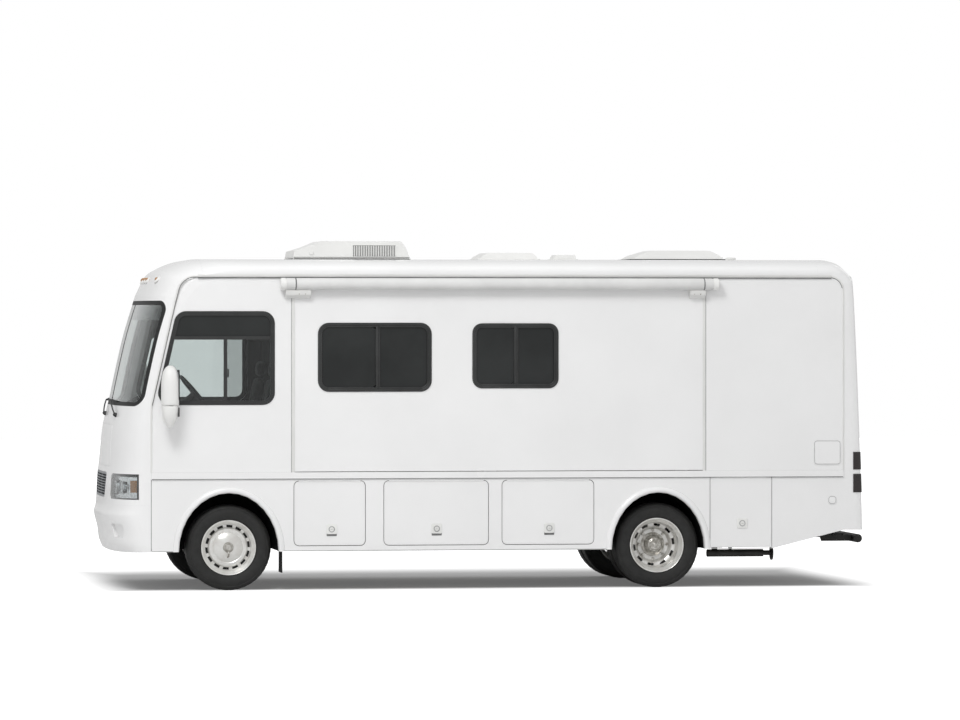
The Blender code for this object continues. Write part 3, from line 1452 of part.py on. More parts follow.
def make_running_gear():
    make_chassis()
    make_engine()
    make_tank()
    make_front_axle()
    make_rear_axle()
    for name, side in (("left", -1), ("right", 1)):
        make_flap("mud_flap_" + name, side)
        make_knuckle("knuckle_" + name, side)
        make_tyre("front_tyre_" + name, side * TRACK_HALF, FRONT_AXLE)
        make_front_wheel("front_wheel_" + name, side)
        make_tyre("rear_outer_tyre_" + name, side * TRACK_HALF, REAR_AXLE)
        make_tyre("rear_inner_tyre_" + name, side * (TRACK_HALF - DUAL_SPACING), REAR_AXLE)
        make_rear_wheel("rear_wheel_" + name, side)


def make_roof_items():
    make_roof_unit()
    for row in ROOF_BOX_TABLE:
        make_roof_box(*row)


def make_cab():
    make_dashboard()
    make_steering_wheel()
    make_seat("driver_seat", -1)
    make_seat("passenger_seat", 1)


def main():
    clear_scene()
    make_body_panels()
    make_floor()
    make_doors()
    make_slide_out()
    make_running_gear()
    make_roof_items()
    make_cab()


main()
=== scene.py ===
# Looks of a small motorhome: finishes, glass, wheels, lamps, latches, seats and the studio around it.
# Metres; the nose points to -X, the driver's side is -Y and +Z is up.

import math

import bmesh
import bpy
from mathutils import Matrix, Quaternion, Vector


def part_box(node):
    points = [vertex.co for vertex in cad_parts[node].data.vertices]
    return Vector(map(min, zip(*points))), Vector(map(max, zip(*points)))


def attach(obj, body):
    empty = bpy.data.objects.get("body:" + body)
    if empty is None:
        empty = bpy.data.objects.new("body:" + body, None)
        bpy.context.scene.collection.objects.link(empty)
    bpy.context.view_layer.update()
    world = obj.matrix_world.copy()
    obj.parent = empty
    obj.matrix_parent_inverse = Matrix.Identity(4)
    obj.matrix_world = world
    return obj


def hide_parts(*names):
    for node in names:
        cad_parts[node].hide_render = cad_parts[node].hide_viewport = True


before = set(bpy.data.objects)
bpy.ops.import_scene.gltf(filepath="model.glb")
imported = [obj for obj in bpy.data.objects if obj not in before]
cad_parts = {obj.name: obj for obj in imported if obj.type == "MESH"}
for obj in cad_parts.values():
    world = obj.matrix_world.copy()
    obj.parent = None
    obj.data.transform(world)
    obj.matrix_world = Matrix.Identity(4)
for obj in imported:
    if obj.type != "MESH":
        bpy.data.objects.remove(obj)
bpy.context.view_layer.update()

MM = 0.001
LEFT = -1
RIGHT = 1
SIDES = (("left", LEFT), ("right", RIGHT))
SEAT_GAP = 0.3 * MM
OVERRUN = 0.300

# Places read from the frame
WALL_LOW, WALL_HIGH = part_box("side_wall_left")
REAR_LOW, REAR_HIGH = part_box("rear_cap")
ROOF_LOW, ROOF_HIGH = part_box("roof")
BUMPER_LOW, BUMPER_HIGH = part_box("front_bumper")
SKIRT_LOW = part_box("skirt_left")[0]
ROOM_LOW, ROOM_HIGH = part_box("slide_room")
NOSE_X = BUMPER_LOW.x
TAIL_X = REAR_HIGH.x
BODY_LENGTH = TAIL_X - NOSE_X
BODY_HALF = -WALL_LOW.y
NOSE_SEAM_X = WALL_LOW.x
TAIL_SEAM_X = WALL_HIGH.x
RAIL_Z = WALL_HIGH.z
BELT_Z = WALL_LOW.z
ROOF_Z = ROOF_HIGH.z
FOOT_Z = BUMPER_LOW.z
BUMPER_Z = BUMPER_HIGH.z
WALL = 50 * MM


def station(value):
    """Distance behind the nose, as an X place."""
    return NOSE_X + value


# Places clear of the body, where tools end
AHEAD_X = NOSE_X - OVERRUN
BEHIND_X = station(BODY_LENGTH + OVERRUN)
OUTSIDE_Y = BODY_HALF + OVERRUN


# Helpers for materials

def linear(hex_colour):
    """sRGB hex to a linear colour with alpha."""
    parts = [int(hex_colour[i:i + 2], 16) / 255 for i in (1, 3, 5)]
    return tuple(c / 12.92 if c <= 0.04045 else ((c + 0.055) / 1.055) ** 2.4 for c in parts) + (1.0,)


def add_node(tree, kind, inputs=None, **settings):
    """Adds a node; an input is a value, or a (node, output) pair to link."""
    node = tree.nodes.new(kind)
    for name, value in settings.items():
        setattr(node, name, value)
    for name, value in (inputs or {}).items():
        if isinstance(value, tuple) and isinstance(value[0], bpy.types.Node):
            tree.links.new(value[0].outputs[value[1]], node.inputs[name])
        else:
            node.inputs[name].default_value = value
    return node


def new_finish(name, colour, roughness, metallic=0.0, **sockets):
    """A material whose constants sit on the shader's own sockets."""
    material = bpy.data.materials.new(name)
    material.use_nodes = True
    tree = material.node_tree
    shader = tree.nodes["Principled BSDF"]
    shader.inputs["Base Color"].default_value = linear(colour)
    shader.inputs["Roughness"].default_value = roughness
    shader.inputs["Metallic"].default_value = metallic
    for socket, value in sockets.items():
        shader.inputs[socket.replace("_", " ")].default_value = value
    return material, tree, shader


PATCH_STOPS = (0.35, 0.65)
NOISE = "ShaderNodeTexNoise"
CELLS = "ShaderNodeTexVoronoi"
CHECKS = "ShaderNodeTexChecker"


def patchy(tree, shader, colour, other, size, stretch=(1, 1, 1)):
    """Blends two colours in soft patches of a real size in millimetres."""
    place = add_node(tree, "ShaderNodeTexCoord")
    scaled = add_node(tree, "ShaderNodeMapping", {"Vector": (place, "Object"), "Scale": stretch})
    noise = add_node(tree, NOISE, {"Vector": (scaled, "Vector"), "Scale": 1 / (size * MM), "Detail": 4.0})
    ramp = add_node(tree, "ShaderNodeValToRGB", {"Fac": (noise, "Fac")})
    for stop, at, hex_colour in zip(ramp.color_ramp.elements, PATCH_STOPS, (colour, other)):
        stop.position = at
        stop.color = linear(hex_colour)
    tree.links.new(ramp.outputs["Color"], shader.inputs["Base Color"])


def uneven_gloss(tree, shader, low, high, size):
    """Lets the roughness wander between two values over a size in millimetres."""
    place = add_node(tree, "ShaderNodeTexCoord")
    noise = add_node(tree, NOISE, {"Vector": (place, "Object"), "Scale": 1 / (size * MM), "Detail": 3.0})
    spread = add_node(tree, "ShaderNodeMapRange", {"Value": (noise, "Fac"), "To Min": low, "To Max": high})
    tree.links.new(spread.outputs["Result"], shader.inputs["Roughness"])


def bumpy(tree, shader, size, depth, kind=NOISE, stretch=(1, 1, 1)):
    """Relief of a real grain size and depth in millimetres."""
    place = add_node(tree, "ShaderNodeTexCoord")
    scaled = add_node(tree, "ShaderNodeMapping", {"Vector": (place, "Object"), "Scale": stretch})
    grain = add_node(tree, kind, {"Vector": (scaled, "Vector"), "Scale": 1 / (size * MM)})
    height = (grain, grain.outputs[0].name)
    relief = add_node(tree, "ShaderNodeBump", {"Height": height, "Distance": depth * MM, "Strength": 1.0})
    tree.links.new(relief.outputs["Normal"], shader.inputs["Normal"])


def finish(name, slot, colour, roughness, metallic=0.0, patches=None, gloss=None, grain=None, **sockets):
    """A finish with its patches, gloss and grain where it has them; the slot is not used."""
    material, tree, shader = new_finish(name, colour, roughness, metallic, **sockets)
    if patches:
        patchy(tree, shader, *patches)
    if gloss:
        uneven_gloss(tree, shader, *gloss)
    if grain:
        bumpy(tree, shader, *grain)
    return material


# Finishes; the last number of patches and gloss and the first two of grain are millimetres

# Polyester gelcoat sprayed in a mould: a deep gloss over faint ripples, so it mirrors softly.
GELCOAT = finish("gelcoat", "white_gelcoat", "#eeeeee", 0.24, patches=("#ececec", "#f0f0f0", 900),
                 gloss=(0.20, 0.30, 300), grain=(6, 0.02), Coat_Weight=0.35, Coat_Roughness=0.08)
# Vacuum-formed ABS of the roof units and mirrors: satin, with the finest grain.
COVER_ABS = finish("moulded_abs_white", "white_plastic", "#e8e8e6", 0.42, patches=("#e4e4e2", "#ebebe9", 400),
                   grain=(1.2, 0.05))
# Milky acrylic of the porch lamp, a touch yellower than the covers.
MILKY_ACRYLIC = finish("milky_acrylic", "white_plastic", "#e2e3de", 0.3, patches=("#dcddd7", "#e6e7e3", 250),
                       Subsurface_Weight=0.2)
# Moulded rubber: matt charcoal that greys where dust settles.
RUBBER = finish("moulded_rubber", "tyre_rubber", "#181817", 0.62, patches=("#151514", "#1d1d1c", 60),
                gloss=(0.50, 0.68, 40), grain=(1.5, 0.12))
# Pressed steel under silver paint: metal flakes, satin, with brake dust in patches.
SILVER = finish("silver_painted_steel", "wheel_steel", "#e6e6e3", 0.32, 0.55,
                patches=("#dcdad6", "#eaeae7", 70), gloss=(0.24, 0.38, 30), grain=(1.0, 0.03))
# Bare turned steel of the hubs and nuts, with oily stains.
HUB_STEEL = finish("turned_steel", "wheel_steel", "#c4c2bd", 0.28, 0.8, patches=("#9b978f", "#d2d0cb", 28),
                   grain=(0.8, 0.05, NOISE, (1, 6, 1)))
# Black asphalt paint on rolled steel, dusty and slightly rough.
CHASSIS = finish("chassis_black_paint", "chassis_paint", "#1b1b1a", 0.6, patches=("#171716", "#2a2926", 140),
                 grain=(3, 0.2))
# Sand-cast iron of the engine, dull and granular.
IRON = finish("sand_cast_iron", "chassis_paint", "#3a3a3a", 0.7, 0.5, patches=("#2e2e2e", "#4a4744", 90),
              grain=(2, 0.4))
# Grained black ABS: tiny leather-like cells that scatter the light. The same black is painted shade behind
# the air unit's louvres.
BLACK_ABS_AND_PAINTED_SHADE = finish("grained_black_abs_and_painted_shade", "black_plastic", "#222323", 0.48, patches=("#1f2020", "#292a2a", 120),
                   grain=(1.6, 0.12, CELLS))
# Aluminium extrusion powder-coated black: an even satin with a fine texture.
WINDOW_FRAME = finish("powder_coated_aluminium", "black_plastic", "#2b2c2c", 0.40,
                      patches=("#272828", "#303131", 200), grain=(0.9, 0.06))
# Extruded rubber seal, near black and dull.
SEAL = finish("extruded_seal_rubber", "black_plastic", "#141515", 0.62, patches=("#121313", "#1b1c1c", 80),
              grain=(2.0, 0.05))
# Dark tempered glass: nearly opaque, so it shows reflections more than the room.
PRIVACY_GLASS = finish("privacy_glass", "tinted_glass", "#262828", 0.04, patches=("#232525", "#2b2d2d", 500),
                       Specular_IOR_Level=0.32)
# Laminated screen glass with a faint green-grey tint that deepens with each pane.
SCREEN_GLASS = finish("laminated_glass", "tinted_glass", "#dbe1e0", 0.0, patches=("#d9dfde", "#dde3e2", 600),
                      Transmission_Weight=1.0, IOR=1.45)
# Injection-moulded clear polycarbonate with upright flutes that spread the beam.
LENS = finish("clear_polycarbonate", "clear_lens", "#eef0f0", 0.03, patches=("#e9ecec", "#f1f3f3", 60),
              grain=(12, 0.25, NOISE, (1, 1, 0.05)), Transmission_Weight=1.0, IOR=1.58)
# Laminated glass of the sliding side pane, tinted grey, so it looks a step darker than the fixed one.
TINTED_PANE = finish("tinted_laminated_glass", "tinted_glass", "#b1b6b5", 0.0,
                     patches=("#aeb4b3", "#b4b9b8", 600), Transmission_Weight=1.0, IOR=1.45)
# Painted grey ABS of the grille and dashboard vents, satin with fine grain.
GREY_ABS = finish("painted_grey_abs", "black_plastic", "#7d8083", 0.4, patches=("#787b7e", "#86898c", 90),
                  grain=(1.4, 0.05))
# Grey sealant in the seams: dull, smoothed by hand, so its width and tone wander a little. The same grey is
# painted shadow under the gutter, the belt moulding and the latch plates.
SEALANT_AND_PAINTED_SHADOW = finish("butyl_sealant_and_painted_shadow", "white_plastic", "#6c6d6d", 0.7, patches=("#626363", "#7b7c7c", 120),
                 grain=(4, 0.2))
# Pale grey wiper rubber round the slide-out room: soft and even. The same grey is painted shade along the
# skirts' foot.
GREY_RUBBER_AND_PAINTED_SHADE = finish("grey_wiper_rubber_and_painted_shade", "white_plastic", "#a9aaa9", 0.6, patches=("#a0a1a0", "#b2b3b2", 90),
                     grain=(2, 0.05))
# Thick black polyethylene of the wheel wells: matt, pitted by grit, dusty in patches. Its near black and low
# gloss are partly its own colour and partly painted shade in the wells.
WELL_LINER_AND_PAINTED_SHADE = finish("pitted_polyethylene_and_painted_shade", "black_plastic", "#0d0d0d", 0.85,
                    patches=("#0b0b0b", "#151514", 90),
                    grain=(7, 0.6), Specular_IOR_Level=0.2)
# Amber polycarbonate over a bright reflector: warm, with small prisms behind the skin.
AMBER = finish("amber_polycarbonate", "clear_lens", "#a87a4c", 0.18, grain=(4, 0.3, CELLS), Coat_Weight=0.6)
# Deep red polycarbonate, dark where it is unlit.
RED = finish("red_polycarbonate", "clear_lens", "#160808", 0.12, grain=(5, 0.3, CELLS), Coat_Weight=0.7)
# Vacuum-metallised reflectors and chromed trim: a near mirror.
CHROME = finish("bright_chrome", "wheel_steel", "#dcdedf", 0.08, 1.0, gloss=(0.05, 0.14, 20))
# Silvered mirror glass: a clean mirror.
MIRROR = finish("silvered_glass", "clear_lens", "#cfd4d6", 0.02, 1.0, gloss=(0.01, 0.04, 60))
# Vinyl-coated polyester rolled on the tube: a fine weave under a satin skin.
AWNING = finish("coated_awning_cloth", "white_plastic", "#dadad9", 0.5, patches=("#d6d6d5", "#dfdfde", 300),
                grain=(1.5, 0.08, CHECKS))
# Painted aluminium extrusion of the rails and brackets: smooth, semi-gloss.
EXTRUSION = finish("painted_aluminium_white", "white_gelcoat", "#dededc", 0.32,
                   patches=("#dadad8", "#e3e3e1", 350), grain=(2.5, 0.02))
# Woven polyester over foam: 1.2 mm threads drawn at 4 mm so that the weave shows.
UPHOLSTERY = finish("woven_upholstery", "seat_cloth", "#3d3f40", 0.9, patches=("#37393a", "#474948", 14),
                    grain=(4, 0.6, CELLS), Sheen_Weight=0.3)
# Felted lining of the cab, dark grey and soft.
LINING = finish("needle_felt_lining", "seat_cloth", "#262829", 0.95, patches=("#232526", "#2d2f30", 30),
                grain=(8, 0.15))
# Sealed birch plywood under the house, with long grain.
PLYWOOD = finish("sealed_birch_plywood", "floor_board", "#6e6152", 0.65,
                 patches=("#5f5346", "#7d705f", 30, (0.08, 1, 1)), grain=(4, 0.15, NOISE, (0.05, 1, 1)))
# Blow-moulded black polyethylene, waxy and slightly wavy.
TANK_PLASTIC = finish("blow_moulded_polyethylene", "black_plastic", "#1d1e1e", 0.5,
                      patches=("#1a1b1b", "#262727", 150), grain=(12, 0.4))

FLUTE_PITCH = 9 * MM


def fluted_reflector():
    """Metallised reflector pressed in upright flutes, which break the mirror into bright lines."""
    material, tree, shader = new_finish("fluted_reflector", "#d5d7d8", 0.16, 1.0)
    place = add_node(tree, "ShaderNodeTexCoord")
    waves = {"Vector": (place, "Object"), "Scale": 0.5 / FLUTE_PITCH / math.pi * 0.5, "Distortion": 0.0}
    flutes = add_node(tree, "ShaderNodeTexWave", waves, bands_direction="Y")
    relief = add_node(tree, "ShaderNodeBump",
                      {"Height": (flutes, "Fac"), "Distance": 2 * MM, "Strength": 0.7})
    tree.links.new(relief.outputs["Normal"], shader.inputs["Normal"])
    patchy(tree, shader, "#c9cbcc", "#dcdedf", 40)
    return material


REFLECTOR = fluted_reflector()


# Helpers for meshes

def place_piece(item, material, body="coach", angle=35):
    """Gives a piece its finish, smooth shading and the body it rides on, which is the coach for most."""
    item.data.materials.clear()
    item.data.materials.append(material)
    item.data.shade_smooth()
    item.data.set_sharp_from_angle(angle=math.radians(angle))
    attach(item, body)
    return item


def set_in_scene(name, data):
    """Makes an object of a mesh, a curve, a lamp or a camera."""
    item = bpy.data.objects.new(name, data)
    bpy.context.scene.collection.objects.link(item)
    return item


def object_of(name, work):
    """Makes an object of a finished bmesh."""
    bmesh.ops.recalc_face_normals(work, faces=work.faces)
    mesh = bpy.data.meshes.new(name)
    work.to_mesh(mesh)
    work.free()
    return set_in_scene(name, mesh)


# An outline's two values and a depth, as X, Y and Z: X takes (y, z), Y takes (x, z), Z takes (x, y)
PUT_ALONG = {"X": lambda a, b, c: (c, a, b), "Y": lambda a, b, c: (a, c, b), "Z": lambda a, b, c: (a, b, c)}


def prism(name, outline, low, high, axis):
    """Extrudes an outline along an axis."""
    put = PUT_ALONG[axis]
    work = bmesh.new()
    near = [work.verts.new(put(a, b, low)) for a, b in outline]
    far = [work.verts.new(put(a, b, high)) for a, b in outline]
    work.faces.new(near)
    work.faces.new(list(reversed(far)))
    for index in range(len(near)):
        after = (index + 1) % len(near)
        work.faces.new((near[index], near[after], far[after], far[index]))
    return object_of(name, work)


def skin(name, rings):
    """Skins rings of points, and closes the first and last."""
    work = bmesh.new()
    grid = [[work.verts.new(point) for point in ring] for ring in rings]
    count = len(grid[0])
    for low, high in zip(grid, grid[1:]):
        for index in range(count):
            after = (index + 1) % count
            work.faces.new((low[index], low[after], high[after], high[index]))
    work.faces.new(grid[0])
    work.faces.new(list(reversed(grid[-1])))
    return object_of(name, work)


def revolved(name, profile, centre, steps, closed=False):
    """Turns a line of (radius, y) points about the Y axis through a centre; a closed line makes a ring."""
    work = bmesh.new()
    rings = []
    for radius, depth in profile:
        if radius == 0:
            rings.append([work.verts.new((centre[0], centre[1] + depth, centre[2]))])
            continue
        ring = []
        for step in range(steps):
            angle = 2 * math.pi * step / steps
            ring.append(work.verts.new((centre[0] + radius * math.cos(angle), centre[1] + depth,
                                        centre[2] + radius * math.sin(angle))))
        rings.append(ring)
    pairs = list(zip(rings, rings[1:]))
    if closed:
        pairs.append((rings[-1], rings[0]))
    for low, high in pairs:
        for step in range(steps):
            after = (step + 1) % steps
            corners = [low[step % len(low)], low[after % len(low)], high[after % len(high)],
                       high[step % len(high)]]
            work.faces.new(list(dict.fromkeys(corners)))
    return object_of(name, work)


def rounded(a0, b0, a1, b1, radius, steps=8):
    """Rectangle with round corners."""
    centres = ((a1 - radius, b0 + radius, -90), (a1 - radius, b1 - radius, 0),
               (a0 + radius, b1 - radius, 90), (a0 + radius, b0 + radius, 180))
    outline = []
    for a, b, start in centres:
        for step in range(steps + 1):
            angle = math.radians(start + 90 * step / steps)
            outline.append((a + radius * math.cos(angle), b + radius * math.sin(angle)))
    return outline


def tube(name, points, radius, steps=10):
    """Round bar along a line of points."""
    line = bpy.data.curves.new(name, "CURVE")
    line.dimensions = "3D"
    spline = line.splines.new("POLY")
    spline.points.add(len(points) - 1)
    for spot, point in zip(spline.points, points):
        spot.co = (*point, 1.0)
    line.bevel_depth = radius
    line.bevel_resolution = steps // 2 - 1
    line.use_fill_caps = True
    item = set_in_scene(name, line)
    mesh = bpy.data.meshes.new_from_object(item)
    bpy.data.objects.remove(item)
    return set_in_scene(name, mesh)


def soften(item, width, segments=2, angle=35):
    """Rounds the edges of a piece."""
    bevel = item.modifiers.new("soft_edges", "BEVEL")
    bevel.width = width
    bevel.segments = segments
    bevel.limit_method = "ANGLE"
    bevel.angle_limit = math.radians(angle)
    bevel.harden_normals = True
    return item


def apply_modifiers(item):
    """Turns a piece's modifiers into its mesh."""
    graph = bpy.context.evaluated_depsgraph_get()
    mesh = bpy.data.meshes.new_from_object(item.evaluated_get(graph))
    item.modifiers.clear()
    item.data = mesh
    return item


def combine(base, tool, operation, solver="MANIFOLD"):
    """Cuts, crosses or joins the base with a tool, and removes the tool."""
    change = base.modifiers.new("combine", "BOOLEAN")
    change.operation = operation
    change.solver = solver
    change.object = tool
    apply_modifiers(base)
    bpy.data.objects.remove(tool)
    return base


def joined(name, items):
    """Makes one piece of several."""
    work = bmesh.new()
    for item in items:
        part = item.data.copy()
        part.transform(item.matrix_world)
        work.from_mesh(part)
        bpy.data.meshes.remove(part)
        bpy.data.objects.remove(item)
    mesh = bpy.data.meshes.new(name)
    work.to_mesh(mesh)
    work.free()
    return set_in_scene(name, mesh)


def dress(node, material, edge=0.0):
    """Gives a CAD node its finish, and softens its edges where asked."""
    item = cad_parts[node]
    item.data.materials.clear()
    item.data.materials.append(material)
    for face in item.data.polygons:
        face.material_index = 0
    if edge:
        soften(item, edge)
    return item


def middle(node):
    """Centre of a CAD node's box."""
    low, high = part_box(node)
    return (low + high) / 2


def block(name, x0, x1, y0, y1, z0, z1):
    """Box between two places on each axis; the two on Y come in any order."""
    y0, y1 = sorted((y0, y1))
    return prism(name, [(x0, y0), (x1, y0), (x1, y1), (x0, y1)], z0, z1, "Z")


def copy_of(item, name):
    """A second piece with a mesh of its own, in the same place."""
    twin = set_in_scene(name, item.data.copy())
    twin.matrix_world = item.matrix_world
    return twin


def moved(item, place, turn=None):
    """Turns a piece's mesh about the origin where asked, then moves it to its place."""
    if turn is not None:
        item.data.transform(turn.to_matrix().to_4x4())
    for vertex in item.data.vertices:
        vertex.co += Vector(place)
    return item


# Lays what was turned about Y along X
QUARTER_TURN = Quaternion((0, 0, 1), -math.pi / 2)


def lathed(name, profile, centre, steps, side=1, foot=0.0, closed=False):
    """Turned piece of (radius, depth) points in millimetres; depth counts outwards from a foot."""
    line = [(radius * MM, foot + side * depth * MM) for radius, depth in profile]
    return revolved(name, line, centre, steps, closed)


def off_wall(side, out):
    """Place on Y at a distance outside a side's face, in millimetres."""
    return side * (BODY_HALF + out * MM)


def reach_out(side, low, high):
    """Two depths outside a side of the body, in millimetres from the seat on it, as places on Y."""
    return sorted(side * (BODY_HALF + SEAT_GAP + depth * MM) for depth in (low, high))


def drawn_in(box, inset, radius):
    """Rectangle (a0, b0, a1, b1) drawn in by an inset, with round corners, in millimetres."""
    a0, b0, a1, b1 = box
    return rounded(a0 + inset * MM, b0 + inset * MM, a1 - inset * MM, b1 - inset * MM, radius * MM)


def round_frame(name, box, insets, radii, low, high, axis):
    """Frame between two rounded rectangles that are drawn in from one box."""
    outer, inner = (drawn_in(box, inset, radius) for inset, radius in zip(insets, radii))
    return ring_plate(name, outer, inner, low, high, axis)


def ring_plate(name, outer, inner, low, high, axis):
    """Frame between two outlines with as many points each."""
    put = PUT_ALONG[axis]
    work = bmesh.new()
    loops = [[work.verts.new(put(a, b, depth)) for a, b in outline]
             for outline, depth in ((outer, low), (outer, high), (inner, high), (inner, low))]
    count = len(outer)
    for loop, other in zip(loops, loops[1:] + loops[:1]):
        for index in range(count):
            after = (index + 1) % count
            work.faces.new((loop[index], loop[after], other[after], other[index]))
    return object_of(name, work)


def rounded_corners(corners, radii, steps=8):
    """Polygon whose corners each get their own radius."""
    outline = []
    for index, (corner, radius) in enumerate(zip(corners, radii)):
        if radius == 0:
            outline.append(corner)
            continue
        spot = Vector(corner)
        before = (Vector(corners[index - 1]) - spot).normalized()
        after = (Vector(corners[(index + 1) % len(corners)]) - spot).normalized()
        half = before.angle(after) / 2
        centre = spot + (before + after).normalized() * radius / math.sin(half)
        reach = radius / math.tan(half)
        start, end = (spot + way * reach - centre for way in (before, after))
        first = math.atan2(start.y, start.x)
        turn = (math.atan2(end.y, end.x) - first + math.pi) % (2 * math.pi) - math.pi
        for step in range(steps + 1):
            angle = first + turn * step / steps
            outline.append((centre.x + radius * math.cos(angle), centre.y + radius * math.sin(angle)))
    return outline


def smooth_line(points, fine):
    """Round line through given points."""
    line = []
    for index in range(len(points) - 1):
        spots = [points[max(index - 1, 0)], points[index], points[index + 1],
                 points[min(index + 2, len(points) - 1)]]
        for step in range(fine):
            t = step / fine
            line.append(tuple(((-a + 3 * b - 3 * c + d) * t ** 3 + (2 * a - 5 * b + 4 * c - d) * t ** 2
                               + (c - a) * t + 2 * b) / 2 for a, b, c, d in zip(*spots)))
    line.append(tuple(points[-1]))
    return line


# The moulded shell, drawn finer than in the CAD from the same shares

NOSE_RAKE = 0.910
TAIL_RAKE = 0.290
NOSE_PLAN_DEPTH = 0.360
TAIL_PLAN_DEPTH = 0.090
NOSE_PLAN_POWER = 2.6
TAIL_PLAN_POWER = 9.0
ROOF_ROLL = ROOF_Z - RAIL_Z
ROOF_ROLL_POWER = 3.6
ROLL_START_SHARE = 0.85
ROOF_THICK = 90 * MM
SECTIONS = 22
# columns: share of the rake behind the nose, share of the height
NOSE_SHARES = (
    (0.093, 0.000), (0.054, 0.030), (0.036, 0.072), (0.000, 0.123), (0.021, 0.157), (0.036, 0.250),
    (0.054, 0.300), (0.093, 0.419), (0.158, 0.512), (0.223, 0.613), (0.314, 0.740), (0.425, 0.858),
    (0.456, 0.884), (0.548, 0.942), (0.665, 0.968), (0.821, 0.989), (1.000, 1.000),
)
# columns: share of the rake ahead of the tail, share of the height
TAIL_SHARES = (
    (1.000, 1.000), (0.760, 0.992), (0.550, 0.971), (0.390, 0.948), (0.320, 0.917), (0.170, 0.590),
    (0.017, 0.125), (0.017, 0.000),
)


def roll(share, power):
    """Round shoulder: 0 in the middle, 1 at the edge."""
    return 1 - max(0.0, 1 - min(share, 1.0) ** power) ** (1 / power)


def side_line(share, inset, roof_inset, foot):
    """Outline of the shell in side view at a share of the half width."""
    height = ROOF_Z - FOOT_Z
    nose = NOSE_PLAN_DEPTH * roll(share, NOSE_PLAN_POWER)
    tail = TAIL_PLAN_DEPTH * roll(share, TAIL_PLAN_POWER)
    drop = ROOF_ROLL * roll(share, ROOF_ROLL_POWER)
    line = []
    for shares, front in ((smooth_line(NOSE_SHARES, 5), True), (smooth_line(TAIL_SHARES, 4), False)):
        for rake, tall in shares:
            tall = min(tall, 1.0)
            lower = max(0.0, (tall - ROLL_START_SHARE) / (1 - ROLL_START_SHARE))
            z = FOOT_Z + tall * height - lower * (drop + roof_inset)
            if front:
                line.append((station(max(rake, 0.0) * NOSE_RAKE + nose + inset), z))
            else:
                line.append((station(BODY_LENGTH - max(rake, 0.0) * TAIL_RAKE - tail - inset), z))
    return [(line[0][0], foot)] + line + [(line[-1][0], foot)]


def hull(inset, roof_inset, foot):
    """Solid of the whole shell, drawn in by an inset."""
    half = BODY_HALF - inset
    shares = []
    for step in range(SECTIONS + 1):
        angle = math.pi / 2 * step / SECTIONS
        shares.append(math.sin(angle) ** (2 / ROOF_ROLL_POWER))
    shares = [-share for share in reversed(shares[1:])] + shares
    rows = [[(x, share * half, z) for x, z in side_line(abs(share), inset, roof_inset, foot)]
            for share in shares]
    return skin("hull", rows)


def shell_between(outset, inset, roof_inset=None):
    """Open-footed layer of the shell between two depths under its surface."""
    outer = hull(outset, outset, FOOT_Z)
    inner = hull(inset, inset if roof_inset is None else roof_inset, FOOT_Z - OVERRUN)
    return combine(outer, inner, "DIFFERENCE")


def keep(item, tool):
    """Leaves what lies inside the tool."""
    return combine(item, tool, "INTERSECT")


def cut(item, tool):
    """Takes away what lies inside the tool."""
    return combine(item, tool, "DIFFERENCE")


def layer_piece(name, layer, tool, material, angle=35):
    """Makes a piece of the coach of what a layer of the shell has inside a tool."""
    keep(layer, tool)
    layer.name = name
    return place_piece(layer, material, "coach", angle)


def nose_x(y, z, off=0.0):
    """Place of the nose's surface at a height, with an offset ahead of it."""
    line = side_line(abs(y) / BODY_HALF, 0.0, 0.0, FOOT_Z)[1:]
    return height_crossing(line, z) - off


def tail_x(y, z):
    """Place of the tail's surface at a height."""
    line = side_line(abs(y) / BODY_HALF, 0.0, 0.0, FOOT_Z)[1:-1]
    return height_crossing(list(reversed(line)), z)


def height_crossing(line, z):
    """Where a line of (x, z) points first passes a height."""
    for (x0, z0), (x1, z1) in zip(line, line[1:]):
        if z0 <= z <= z1:
            return x0 + (x1 - x0) * (z - z0) / max(z1 - z0, MM / 10)
    return line[0][0]


NOSE_SEAM = NOSE_SEAM_X - NOSE_X
SEAM_BEND_Z = 1.760
SEAM_UPPER = 0.628
SEAM_UPPER_Z = 2.690
SEAM_TOP = 0.700
SEAM_TOP_ROUND = 0.170
ROOF_FRONT = ROOF_LOW.x - NOSE_X
ROOF_REAR = ROOF_HIGH.x - NOSE_X
TAIL_SEAM = TAIL_SEAM_X - NOSE_X
TAIL_SEAM_ROUND = 0.130
TAIL_FOOT_Z = REAR_LOW.z


def nose_region():
    """Side outline of what belongs to the front cap."""
    top = ROOF_Z + OVERRUN
    return rounded_corners(
        [(AHEAD_X, BUMPER_Z + SEAT_GAP), (station(NOSE_SEAM), BUMPER_Z + SEAT_GAP),
         (station(NOSE_SEAM), SEAM_BEND_Z), (station(SEAM_UPPER), SEAM_UPPER_Z), (station(SEAM_TOP), RAIL_Z),
         (station(ROOF_FRONT), RAIL_Z), (station(ROOF_FRONT), top), (AHEAD_X, top)],
        (0, 0, 0, 0, SEAM_TOP_ROUND, 0, 0, 0))


def tail_region():
    """Side outline of what belongs to the rear cap."""
    top = ROOF_Z + OVERRUN
    rear = BEHIND_X
    return rounded_corners(
        [(station(TAIL_SEAM), TAIL_FOOT_Z), (station(TAIL_SEAM), RAIL_Z), (station(ROOF_REAR), RAIL_Z),
         (station(ROOF_REAR), top), (rear, top), (rear, TAIL_FOOT_Z)],
        (0, TAIL_SEAM_ROUND, 0, 0, 0, 0))


def through_prism(outline):
    """Tool that runs across the whole width."""
    return prism("tool", outline, -OUTSIDE_Y, OUTSIDE_Y, "Y")


def ahead_prism(outline, reach):
    """Tool that runs back from in front of the nose."""
    return prism("tool", outline, AHEAD_X, station(reach), "X")


def behind_prism(outline):
    """Tool that runs from the tail's seam to behind the tail."""
    return prism("tool", outline, station(TAIL_SEAM), BEHIND_X, "X")


